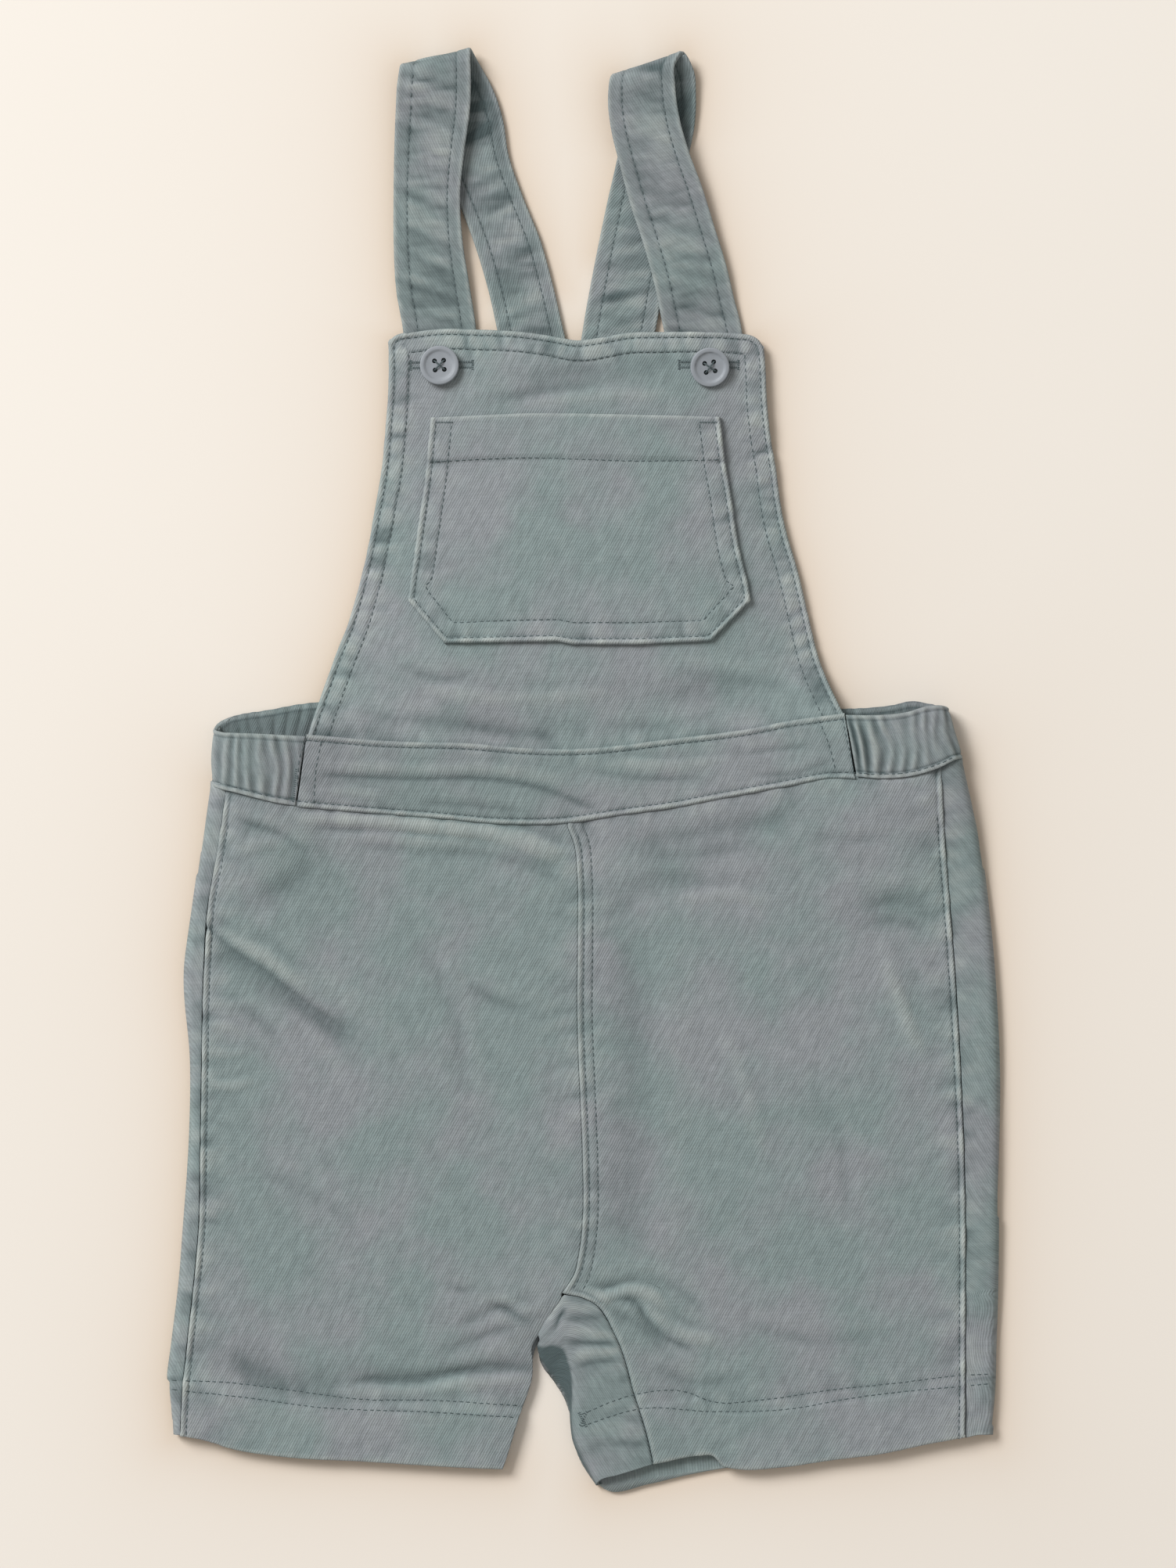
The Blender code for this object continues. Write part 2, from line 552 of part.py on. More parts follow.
def make_back_leg_right(material, group):
    centre, _, inseam = leg_lines()
    start = seam_side(np.vstack([SEAM_TURN, inseam]), 1)
    wrap = along(INNER_WRAP, lengths(start))
    start_rise = leg_rise(start[:, 0], start[:, 1])
    start_rise[:2] = SEAM_TURN_RISE
    inner_net = []
    for (x, y), z, (lip_x, lip_y, lip_z, edge_x, edge_y) in zip(start, start_rise, wrap):
        row = [(x, y, z)]
        for part in (0.35, 0.7):
            bulge = 0.25 * math.sin(math.pi * part)
            row.append((x + part * (lip_x - x), y + part * (lip_y - y), z + part * (lip_z - z) + bulge))
        row.append((lip_x, lip_y, lip_z))
        row.append((0.4 * lip_x + 0.6 * edge_x, 0.4 * lip_y + 0.6 * edge_y, 0.45 * lip_z + 0.55 * WALL))
        row.append((edge_x + 0.6, edge_y, WALL + 0.12))
        inner_net.append(row)
    inner_net = np.array(inner_net)
    upper = seam_side(along(BACK_SEAM, even(len(centre))), -1)[:-1]
    upper = np.column_stack([upper, np.full(len(upper), WALL)])
    starts = np.vstack([upper, inner_net[:, -1]])
    down = lengths(starts)
    seams = seam_side(along(RIGHT_SIDE_SEAM, down), -1)
    edges = along(RIGHT_EDGE, down)
    rise = leg_rise(seams[:, 0], seams[:, 1])
    across = near_edges(10, 0.03, 0.1)
    rows = []
    for row, (seam, edge, begin) in enumerate(zip(seams, edges, starts)):
        side = round_side(seam, edge, rise[row], WALL, 1, WALL)[::-1]
        first = side[0]
        points = [tuple(begin)]
        for part in across[1:-1]:
            x, y = begin[:2] + part * (np.array(first[:2]) - begin[:2])
            points.append((x, y, WALL))
        rows.append(points + side)
    net = np.array(rows)
    hem = along(BACK_HEM_RIGHT, even(net.shape[1] - 4))
    net[-1, 1:-5, 1] = value_at(hem, net[-1, 1:-5, 0])
    net[0, -3:, 1] = value_at(BAND_FOOT, net[0, -3:, 0]) - 2 * SEAM_GAP
    net[0, :-3, 1] = back_head(net[0, :-3, 0])
    nets = [(part, np.ones(part.shape[:2])) for part in (inner_net, net)]
    cloth("back_leg_right", nets, WALL, -1, 1.0, material, group)


def make_front_waistband(material, group):
    across = near_edges(26, 0.02, 0.02)
    down = even(4)
    head = along(BAND_HEAD, across)
    foot = along(between(BAND_FOOT, -106.2, 100.6), across)
    head[:, 1] -= 0.5 * SEAM_GAP
    foot[:, 1] += 0.5 * SEAM_GAP
    left = head[0] + down[:, None] * (foot[0] - head[0])
    right = head[-1] + down[:, None] * (foot[-1] - head[-1])
    flat = stretch_between(left, right, head, foot, across, down)
    rise = value_at(WAIST_RISE, flat[:, :, 0]) + relief(flat[:, :, 0], flat[:, :, 1])
    rise = np.maximum(rise, BAND_WALL + LAYER_GAP)
    nets = [(with_height(flat, rise), np.ones(rise.shape))]
    cloth("front_waistband", nets, FRONT_BAND_WALL, 1, 1.0, material, group)


def make_back_waistband(material, group):
    """The elastic gathers the band: waves on the sides, and on the inner face where it rests."""
    line = smooth_line(ELASTIC)
    middle = np.column_stack([0.5 * (line[:, 0] + line[:, 2]), line[:, 4]])
    reach = np.concatenate([[0.0], np.cumsum(np.linalg.norm(np.diff(middle, axis=0), axis=1))])
    count = GATHER_STEPS * round(reach[-1] / GATHER_PITCH) + 1
    places = np.linspace(0.0, reach[-1], count)
    path = np.stack([np.interp(places, reach, line[:, axis]) for axis in range(5)], axis=1)
    run_x = np.gradient(0.5 * (path[:, 0] + path[:, 2]))
    run_z = np.gradient(path[:, 4])
    size = np.hypot(run_x, run_z)
    wave = np.sin(2 * math.pi * places / GATHER_PITCH)
    lifted = np.clip(path[:, 4] / 4.0, 0.0, 1.0)
    strong = np.exp(-(((reach[-1] - places) - 6.0) / 7.0) ** 2)
    height = wave * lifted * (GATHER_HEIGHT + (DEEP_GATHER - GATHER_HEIGHT) * strong)
    height *= np.clip(np.minimum(places, reach[-1] - places) / GATHER_PITCH, 0.0, 1.0)
    out_x, out_z = run_z / size, -run_x / size
    rows = []
    for part in even(3):
        bulge = 0.25 * math.sin(math.pi * part) * lifted
        rows.append(np.column_stack([
            path[:, 0] + part * (path[:, 2] - path[:, 0]) + out_x * (height + bulge),
            path[:, 1] + part * (path[:, 3] - path[:, 1]),
            np.maximum(path[:, 4] + out_z * (height + bulge), 0.0),
        ]))
    resting = np.clip(1.0 - path[:, 4] / 0.5, 0.0, 1.0)
    share = 1.0 - resting * 0.12 * (1.0 + wave)
    net = np.array(rows)
    cloth("back_waistband", [(net, np.tile(share, (3, 1)))], BAND_WALL, -1, -1.0, material, group)


def make_bib(material, group):
    edge = BIB_EDGE / (BIB_HEAD[-1][0] - BIB_HEAD[0][0])
    step = 0.3 * edge
    plain = np.linspace(edge + step, 1 - edge - step, 13)
    across = np.concatenate([[0.0, edge], plain, [1 - edge, 1.0]])
    turned = BIB_HEM / (BIB_HEAD[0][1] - BAND_HEAD[0][1])
    down = np.concatenate([[0.0, turned], np.linspace(turned + step, 1.0, 15)])
    left = along(BIB_LEFT[::-1], down)
    right = along(BIB_RIGHT[::-1], down)
    head = along(BIB_HEAD, across)
    foot = along(between(BAND_HEAD, -102.4, 96.4), across)
    foot[:, 1] += 0.5 * SEAM_GAP
    left[-1], right[-1] = foot[0], foot[-1]
    flat = stretch_between(left, right, head, foot, across, down)
    rise = bib_rise(flat[:, :, 0], flat[:, :, 1])
    share = np.full(rise.shape, WALL / EDGE_WALL)
    share[:, :2] = share[:, -2:] = 1.0
    share[:2] = 1.0
    cloth("bib", [(with_height(flat, rise), share)], EDGE_WALL, 1, 1.0, material, group)


def make_pocket(material, group):
    corner = (POCKET_FOOT[1][0] - POCKET_FOOT[0][0]) / (POCKET_FOOT[-1][0] - POCKET_FOOT[0][0])
    across = np.concatenate([[0.0], np.linspace(corner, 1 - corner, 11), [1.0]])
    hem_end = POCKET_HEM / (POCKET_HEAD[0][1] - POCKET_LEFT[0][1])
    down = np.concatenate([[0.0, 0.5 * hem_end, hem_end, hem_end + 0.02], np.linspace(0.36, 1.0, 7)])
    left = along(POCKET_LEFT[::-1], down)
    right = along(POCKET_RIGHT[::-1], down)
    head = along(POCKET_HEAD, across)
    foot_x = POCKET_FOOT[0][0] + across * (POCKET_FOOT[-1][0] - POCKET_FOOT[0][0])
    foot = np.column_stack([foot_x, value_at(POCKET_FOOT, foot_x)])
    flat = stretch_between(left, right, head, foot, across, down)
    rise = bib_rise(flat[:, :, 0], flat[:, :, 1]) + WALL + SEAM_GAP
    share = np.full(rise.shape, WALL / EDGE_WALL)
    share[:3] = 1.0
    cloth("bib_pocket", [(with_height(flat, rise), share)], EDGE_WALL, 1, 1.0, material, group)


def make_strap(name, table, material, group):
    rows = along(table, even(46))
    across = even(4)[:, None, None]
    net = (1 - across) * rows[None, :, :3] + across * rows[None, :, 3:]
    net[:, :, 2] = np.maximum(net[:, :, 2], 0.5 * STRAP_WALL)
    cloth(name, [(net, np.ones(net.shape[:2]))], STRAP_WALL, 1, 0.0, material, group)


def make_button(name, place, material, group, cutters):
    """A turned disc with a raised rim and four holes for the thread."""
    half = 0.5 * BUTTON_WIDTH
    base = float(bib_rise(np.array([place[0]]), np.array([place[1]]))[0]) + EDGE_WALL + LAYER_GAP
    dish = BUTTON_HEIGHT - BUTTON_DISH
    profile = (
        (0.0, dish), (half - BUTTON_RIM - 0.7, dish), (half - BUTTON_RIM, BUTTON_HEIGHT - 0.1),
        (half - 0.7, BUTTON_HEIGHT), (half - 0.1, BUTTON_HEIGHT - 0.6), (half, 0.5 * BUTTON_HEIGHT),
        (half - 0.9, 0.25), (half - 2.2, 0.0), (0.0, 0.0),
    )
    mesh = bpy.data.meshes.new(name)
    steps = [(i, i + 1) for i in range(len(profile) - 1)]
    mesh.from_pydata([(x * MM, 0.0, z * MM) for x, z in profile], steps, [])
    button = bpy.data.objects.new(name, mesh)
    turn = button.modifiers.new("turn", "SCREW")
    turn.steps = turn.render_steps = 28
    turn.use_merge_vertices = True
    turn.merge_threshold = 0.00001
    turn.use_normal_calculate = True
    bm = bmesh.new()
    for i in range(4):
        angle = math.radians(45 + 90 * i)
        spot = 0.5 * math.sqrt(2) * HOLE_SPACING * MM
        hole = bmesh.ops.create_cone(
            bm, cap_ends=True, segments=10, radius1=0.5 * HOLE_WIDTH * MM, radius2=0.5 * HOLE_WIDTH * MM,
            depth=4 * BUTTON_HEIGHT * MM)
        place_on_button = (spot * math.cos(angle), spot * math.sin(angle), 0.0)
        bmesh.ops.translate(bm, verts=hole["verts"], vec=place_on_button)
    tool_mesh = bpy.data.meshes.new(name + "_holes")
    bm.to_mesh(tool_mesh)
    bm.free()
    tool = bpy.data.objects.new(name + "_holes", tool_mesh)
    tool.hide_render = True
    tool.display_type = "WIRE"
    cutters.objects.link(tool)
    cut = button.modifiers.new("holes", "BOOLEAN")
    cut.operation = "DIFFERENCE"
    cut.object = tool
    for thing in (button, tool):
        thing.location = (place[0] * MM, place[1] * MM, base * MM)
    return link(button, material, group)


clear_scene()
garment = new_collection("dungarees")
cutters = new_collection("cutters")
twill = new_material("cotton_twill", *CLOTH)
strap_twill = new_material("strap_twill", *STRAP_CLOTH)
plastic = new_material("button_plastic", *BUTTON_PLASTIC)

make_back_leg_left(twill, garment)
make_back_leg_right(twill, garment)
make_front_legs(twill, garment)
make_back_waistband(twill, garment)
make_front_waistband(twill, garment)
make_strap("strap_left", STRAP_LEFT, strap_twill, garment)
make_strap("strap_right", STRAP_RIGHT, strap_twill, garment)
make_bib(twill, garment)
make_pocket(twill, garment)
for button_name, button_place in BUTTONS.items():
    make_button(button_name, button_place, plastic, garment, cutters)
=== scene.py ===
import math

import bpy
import numpy as np
from mathutils import Euler, Matrix, Vector
from mathutils.bvhtree import BVHTree


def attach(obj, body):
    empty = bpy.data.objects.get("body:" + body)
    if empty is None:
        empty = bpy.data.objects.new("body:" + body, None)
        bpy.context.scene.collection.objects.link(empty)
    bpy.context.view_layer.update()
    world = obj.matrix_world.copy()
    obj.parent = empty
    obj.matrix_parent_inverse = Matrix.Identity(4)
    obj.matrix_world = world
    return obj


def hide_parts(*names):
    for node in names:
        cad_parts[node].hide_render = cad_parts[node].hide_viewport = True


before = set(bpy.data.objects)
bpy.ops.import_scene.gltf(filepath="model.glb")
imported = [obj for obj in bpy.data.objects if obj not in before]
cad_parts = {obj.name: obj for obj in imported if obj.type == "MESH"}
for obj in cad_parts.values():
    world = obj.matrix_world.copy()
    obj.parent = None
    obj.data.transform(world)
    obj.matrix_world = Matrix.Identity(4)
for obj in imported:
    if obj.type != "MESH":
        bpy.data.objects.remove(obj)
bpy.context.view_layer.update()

# Short dungarees for a small child, laid flat on their back. +Y runs from the hems to the shoulder
# straps, +X is to the right of someone who looks down on the front, and the cloth rests at z = 0.
# Sizes are millimetres until the points are placed.
MM = 0.001

# Camera: straight down on the front, level with the garment's middle, as in the photo. The frame
# takes in 581 mm of the floor from top to bottom.
CLOTH_LEVEL = 0.005
CAMERA_HEIGHT = 1.6
CAMERA_PLACE = (0.0016, -0.0051)
FRAME_HEIGHT = 0.5812
SENSOR_HEIGHT = 24.0

bpy.ops.object.select_all(action="DESELECT")
bpy.ops.object.camera_add(location=(*CAMERA_PLACE, CLOTH_LEVEL + CAMERA_HEIGHT), rotation=(0.0, 0.0, 0.0))
camera = bpy.context.object
camera.data.sensor_fit = "VERTICAL"
camera.data.sensor_height = SENSOR_HEIGHT
camera.data.lens = SENSOR_HEIGHT * CAMERA_HEIGHT / FRAME_HEIGHT
bpy.context.scene.camera = camera
bpy.context.scene.view_settings.view_transform = "Standard"

# Light: one wide soft light from the upper left and a warm, even light from all round, as from the
# walls of a pale room. The sides away from the window stay soft and a little warmer.
KEY_PLACE = (-2.9, 2.5, 3.2)
KEY_WIDTH = 2.2
KEY_POWER = 248.0
KEY_COLOUR = (1.0, 0.99, 0.985)
FILL_COLOUR = (1.0, 0.955, 0.91, 1.0)
FILL_STRENGTH = 0.45


def add_node(tree, kind, inputs=None, **settings):
    """A shader node with its settings; each input is set to a value or joined to another's output."""
    made = tree.nodes.new(kind)
    for name, value in settings.items():
        setattr(made, name, value)
    for name, value in (inputs or {}).items():
        if isinstance(value, bpy.types.NodeSocket):
            tree.links.new(value, made.inputs[name])
        else:
            made.inputs[name].default_value = value
    return made


def new_surface(name):
    """A material with its node tree and its Principled BSDF."""
    material = bpy.data.materials.new(name)
    material.use_nodes = True
    return material, material.node_tree, material.node_tree.nodes["Principled BSDF"]


bpy.ops.object.light_add(type="AREA", location=KEY_PLACE)
key = bpy.context.object
key.name = "key_light"
key.rotation_euler = Vector(KEY_PLACE).to_track_quat("Z", "Y").to_euler()
key.data.size = KEY_WIDTH
key.data.energy = KEY_POWER
key.data.color = KEY_COLOUR

world = bpy.data.worlds.new("soft_room")
world.use_nodes = True
world.node_tree.nodes["Background"].inputs["Color"].default_value = FILL_COLOUR
world.node_tree.nodes["Background"].inputs["Strength"].default_value = FILL_STRENGTH
bpy.context.scene.world = world

# Back legs: two panels of washed stretch twill, which lie on the floor under the front. Each comes
# round the side to the side seam on the front, and the right one also comes round the inner leg.
WALL = 1.5
HEM_WALL = 2.1
SEAM_GAP = 0.3
LAYER_GAP = 0.4
HEM_DEPTH = 21.0
LEG_PITCH = 1.35
LEG_RISE = 3.4
WAIST_FADE = 32.0
CROTCH_RISE = 0.8
CROTCH_PLACE = (6.0, -204.0)
CROTCH_SPREAD = 26.0
LEAST_RISE = WALL + LAYER_GAP

# Columns x, y: seams and edges of the legs, each from the waist down
CENTRE_SEAM = (
    (-5.2, -20.2), (-2.6, -27.0), (-1.4, -39.3), (-1.2, -62.5), (-1.4, -91.5), (-0.3, -120.5),
    (0.6, -143.7), (0.6, -166.9), (-0.6, -178.5), (-2.6, -187.2), (-7.2, -194.4),
)
LEFT_INNER_LEG = (
    (-7.2, -194.4), (-12.5, -201.6), (-16.6, -208.7), (-19.4, -214.0), (-19.0, -220.0),
    (-19.2, -224.9), (-20.8, -230.7), (-22.9, -236.5), (-24.9, -242.3), (-27.5, -251.0), (-30.2, -259.3),
)
RIGHT_INSEAM = (
    (-7.2, -194.4), (-0.6, -195.6), (4.8, -198.4), (8.4, -203.1), (10.8, -207.8), (13.6, -213.9),
    (15.9, -221.1), (18.6, -231.3), (21.0, -238.5), (23.5, -247.2), (25.8, -257.3),
)
LEFT_SIDE_SEAM = (
    (-131.1, -8.0), (-134.0, -27.7), (-138.3, -50.9), (-139.8, -74.1), (-140.6, -108.0),
    (-141.2, -143.7), (-141.7, -170.0), (-143.5, -190.1), (-146.0, -213.3), (-147.7, -230.0),
    (-148.6, -246.9),
)
RIGHT_SIDE_SEAM = (
    (131.1, -0.4), (132.8, -27.7), (134.8, -50.9), (136.6, -74.1), (138.6, -108.0), (140.1, -143.7),
    (140.6, -170.0), (140.6, -190.1), (140.6, -213.3), (140.6, -230.0), (140.3, -247.5),
)
LEFT_EDGE = (
    (-138.4, -6.2), (-141.5, -27.7), (-145.0, -50.9), (-147.9, -74.1), (-145.7, -108.0),
    (-146.4, -143.7), (-148.3, -170.0), (-149.9, -190.1), (-152.8, -213.3), (-154.4, -227.0),
    (-152.4, -246.4),
)
RIGHT_EDGE = (
    (140.4, 3.2), (147.0, -27.7), (149.9, -50.9), (152.2, -74.1), (153.9, -108.0), (154.0, -143.7),
    (153.7, -170.0), (153.4, -190.1), (152.8, -213.3), (152.5, -230.0), (151.5, -246.4),
)

# Columns x, y: the band's lower line on the front and on the back, and the back hem
BAND_FOOT = (
    (-138.0, -5.7), (-129.3, -8.3), (-122.1, -10.3), (-106.2, -13.4), (-79.8, -15.8), (-54.8, -17.8),
    (-29.0, -20.0), (-5.2, -19.4), (14.5, -16.4), (31.0, -14.2), (53.4, -10.0), (75.4, -5.9),
    (93.1, -2.8), (108.7, -3.6), (119.8, -3.0), (130.8, -0.1), (139.8, 3.9),
)
BACK_BAND_FOOT = (
    (-137.0, -4.9), (-127.0, -4.0), (-106.0, -3.3), (60.0, -3.1), (108.0, -2.7), (123.5, -1.6),
    (131.0, -0.5), (139.2, 2.9),
)
BACK_HEM_RIGHT = (
    (5.4, -265.4), (8.4, -267.4), (24.1, -265.2), (37.7, -262.0), (52.2, -259.3), (73.0, -257.7),
    (109.6, -252.9), (140.3, -247.0), (151.0, -246.2),
)
BACK_SEAM = (
    (0.6, -3.6), (0.4, -60.0), (0.2, -120.0), (0.0, -165.0), (-2.5, -185.0), (-8.5, -200.0),
    (-17.8, -214.4),
)

# Columns lip_x, lip_y, lip_z, edge_x, edge_y: how the back of the right leg comes round the inner
# leg, and the end of the left inseam that the wrap starts from, columns x, y and z
INNER_WRAP = (
    (-15.9, -211.9, 2.25, -15.9, -214.4),
    (-15.0, -212.6, 2.7, -15.8, -217.4),
    (-11.2, -211.9, 3.3, -14.2, -221.2),
    (-7.4, -213.3, 3.8, -11.6, -224.6),
    (-5.2, -217.2, 4.0, -9.2, -228.0),
    (-3.9, -222.2, 4.0, -7.2, -231.2),
    (-3.2, -227.0, 4.0, -5.6, -235.0),
    (-3.0, -233.0, 3.9, -4.4, -239.4),
    (-2.9, -239.5, 3.9, -3.9, -244.2),
    (-2.2, -246.0, 3.8, -3.1, -249.6),
    (1.2, -254.0, 3.7, -0.2, -256.8),
    (6.2, -263.2, 3.6, 5.4, -265.4),
)
SEAM_TURN = ((-16.3, -209.4), (-12.3, -202.0))
SEAM_TURN_RISE = (2.3, 2.9)

# Columns x, z: underside of the front layer along the waist
WAIST_RISE = (
    (-139.0, 3.4), (-134.0, 6.4), (-128.0, 7.8), (-120.0, 8.1), (-112.0, 7.6), (-105.0, 6.8), (-92.0, 5.2),
    (-70.0, 3.9), (-40.0, 3.1), (0.0, 2.8), (40.0, 3.1), (65.0, 4.0), (84.0, 5.5), (99.0, 6.8),
    (107.0, 7.7), (118.0, 8.3), (127.0, 8.2), (134.0, 7.0), (140.5, 3.6),
)

# Columns width, height, points: folds of the front, ridges above zero and troughs below
MAIN_FOLDS = (
    (5.5, -1.0, ((-136, -65), (-116, -79), (-91, -96), (-84, -100))),
    (4.5, -0.6, ((-121, -49), (-105, -39), (-99, -31))),
    (5.0, 0.8, ((-86, -24), (-41, -26), (-21, -29), (-9, -34))),
    (6.0, -0.9, ((-22, -223), (-34, -222), (-60, -226), (-112, -227), (-132, -218))),
    (5.0, -0.8, ((20, -29), (49, -23), (78, -17))),
    (5.0, -0.6, ((10, -54), (24, -42), (49, -41))),
    (4.5, -0.8, ((102, -52), (118, -49), (130, -54))),
    (3.5, 0.5, ((111, -67), (118, -89), (124, -102))),
    (8.0, -0.5, ((18, -62), (19, -120), (17, -178))),
    (4.5, -0.8, ((3, -193), (16, -194), (30, -206), (36, -208))),
    (5.0, -0.6, ((-22, 142), (-4, 147), (36, 151))),
    (5.0, -0.5, ((-55, 20), (-31, 17), (4, 15))),
    (5.0, -0.4, ((30, 28), (60, 30))),
    (4.0, -0.3, ((-97, -2), (-34, -3), (-13, -7), (8, -15))),
)
SMALL_FOLDS = (
    (1.7, -0.8, ((-142, -56), (-131, -66), (-117, -75), (-103, -87), (-90, -96))),
    (2.4, 0.55, ((-131, -62), (-117, -70), (-103, -81))),
    (1.6, 0.6, ((-106, -17.5), (-70, -19.5), (-46, -22), (-22, -25), (-8, -31))),
    (1.8, -0.6, ((-98, -21.5), (-60, -24), (-30, -28), (-10, -36))),
    (1.8, -0.6, ((-127, -19), (-114, -23), (-103, -30))),
    (1.5, 0.4, ((-140, -86), (-131, -87), (-124, -86))),
    (1.5, 0.4, ((-140, -95), (-132, -95), (-126, -98))),
    (1.5, 0.35, ((-140, -103), (-131, -105), (-124, -104))),
    (1.6, 0.45, ((-139, -116), (-130, -117), (-122, -115))),
    (2.6, -0.4, ((-42, -80), (-32, -86), (-18, -90))),
    (1.8, 0.7, ((1, -193), (8, -195), (17, -192.5), (24, -194), (31, -200))),
    (1.7, -0.85, ((12, -196.5), (18.6, -197.5), (23.5, -203.4), (31.3, -210.7), (40, -215))),
    (2.2, 0.5, ((22, -196), (29, -203), (38, -209), (50, -212))),
    (1.8, -0.7, ((-20, -205), (-27, -201), (-33, -198))),
    (1.8, 0.5, ((-21, -200), (-30, -196), (-38, -196))),
    (1.8, -0.7, ((-20, -221.7), (-44, -222.6), (-60, -226), (-84, -226))),
    (2.4, 0.5, ((-22, -226), (-44, -227.5), (-66, -230), (-96, -231))),
    (1.4, -0.4, ((-50, -191), (-44, -193), (-40, -192))),
    (2.6, -0.45, ((-86, -27), (-60, -30), (-38, -31), (-18, -36), (-8, -42))),
    (2.2, 0.3, ((-128, -30), (-118, -27), (-104, -26))),
    (2.6, -0.35, ((-131, -86), (-121, -92), (-112, -101))),
    (2.4, -0.3, ((-118, -60), (-108, -70), (-100, -73))),
    (2.4, 0.25, ((-112, -88), (-97, -101), (-90, -112))),
    (2.6, -0.35, ((24, -33), (44, -31), (62, -28))),
    (2.4, 0.3, ((34, -48), (52, -46), (70, -49))),
    (2.2, -0.3, ((84, -24), (98, -26), (112, -25))),
    (2.4, -0.4, ((104, -58), (116, -56), (128, -61))),
    (2.0, 0.3, ((112, -74), (118, -86), (121, -97), (127, -106))),
    (2.2, -0.35, ((-18, -196), (-30, -199), (-46, -206))),
    (2.4, -0.4, ((-22, -205), (-36, -209), (-52, -216))),
    (2.4, 0.3, ((-24, -214), (-44, -219), (-66, -221))),
    (2.2, -0.45, ((10, -200), (22, -207), (32, -217))),
    (2.2, 0.35, ((6, -196), (20, -200), (34, -212))),
    (2.4, -0.35, ((26, -222), (40, -227), (58, -226))),
    (2.4, -0.3, ((12, -186), (30, -190), (44, -199))),
    (2.6, -0.25, ((60, -205), (84, -212), (112, -210))),
    (3.0, -0.25, ((-120, -150), (-100, -158), (-84, -170))),
    (3.0, 0.22, ((52, -96), (60, -118), (66, -142))),
    (3.0, -0.22, ((-60, -64), (-48, -92), (-44, -118))),
    (3.0, -0.22, ((86, -120), (96, -140), (98, -164))),
    (2.4, -0.35, ((-92, 14), (-75, 14))),
    (2.6, -0.4, ((-80, 19), (-55, 18), (-31, 14), (-10, 12))),
    (2.4, -0.3, ((8, 17), (30, 16), (52, 21))),
    (2.6, -0.3, ((34, 36), (56, 34), (74, 31))),
    (2.2, 0.25, ((-60, 30), (-30, 27), (10, 29))),
    (2.2, -0.3, ((-36, 137), (-14, 140), (4, 142))),
    (2.2, 0.25, ((-20, 136), (6, 139), (30, 139))),
    (2.0, -0.3, ((-66, 38), (-56, 34), (-40, 36))),
)
TUCK = 1.9


def value_at(table, place, column=1):
    """The value of one column where the table's first column has this value."""
    table = np.array(table, float)
    return np.interp(place, table[:, 0], table[:, column])


def smooth_line(points, steps=10):
    """Close points on a smooth line through the given ones, of two or more columns."""
    knots = np.array(points, float)
    spans = np.linalg.norm(np.diff(knots, axis=0), axis=1)
    slopes = np.gradient(knots, np.concatenate([[0.0], np.cumsum(spans)]), axis=0)
    first, last, span = knots[:-1, None], knots[1:, None], spans[:, None, None]
    t = (np.arange(steps) / steps)[None, :, None]
    line = (
        (2 * t**3 - 3 * t**2 + 1) * first + (t**3 - 2 * t**2 + t) * span * slopes[:-1, None]
        + (3 * t**2 - 2 * t**3) * last + (t**3 - t**2) * span * slopes[1:, None]
    )
    return np.vstack([line.reshape(-1, knots.shape[1]), knots[-1:]])


def reach_along(line):
    """How far along a line each of its points lies."""
    return np.concatenate([[0.0], np.cumsum(np.linalg.norm(np.diff(line, axis=0), axis=1))])


def along(points, fractions, smooth=True):
    """Points at these fractions of the length of a line through the given ones."""
    line = smooth_line(points) if smooth else np.array(points, float)
    reach = reach_along(line)
    wanted = np.asarray(fractions) * reach[-1]
    return np.stack([np.interp(wanted, reach, line[:, axis]) for axis in range(line.shape[1])], axis=1)


def even(count):
    return np.linspace(0.0, 1.0, count)


def spread(length, pitch, first=(), last=()):
    """Fractions of a length: even, apart from places at set distances from its two ends."""
    start = first[-1] if first else 0.0
    end = length - (last[-1] if last else 0.0)
    count = max(int(round((end - start) / pitch)), 2)
    places = [0.0, *first, *np.linspace(start, end, count + 1)[1:-1], end]
    places += [length - away for away in last[-2::-1]]
    if last:
        places.append(length)
    return np.array(places) / length


def stretch_between(left, right, head, foot, across, down):
    """A net of points between four edges, as rows from the head to the foot."""
    u = across[None, :, None]
    v = down[:, None, None]
    sides = (1 - u) * left[:, None, :] + u * right[:, None, :]
    ends = (1 - v) * head[None, :, :] + v * foot[None, :, :]
    corners = (
        (1 - u) * (1 - v) * left[0] + u * (1 - v) * right[0] + (1 - u) * v * left[-1] + u * v * right[-1]
    )
    return sides + ends - corners


def between(table, start, end):
    """The stretch of a left-to-right line between two places, with an end point at each."""
    points = np.array(table, float)
    inside = points[(points[:, 0] > start + 1.0) & (points[:, 0] < end - 1.0)]
    ends = [(place, value_at(table, place)) for place in (start, end)]
    return np.vstack([ends[:1], inside, ends[1:]])


def beside(line, side, distance=0.5 * SEAM_GAP):
    """A line moved to one side: right of its run for 1, left for -1."""
    run = np.gradient(np.array(line, float), axis=0)
    run /= np.linalg.norm(run, axis=1)[:, None]
    return line + side * distance * np.stack([run[:, 1], -run[:, 0]], axis=1)


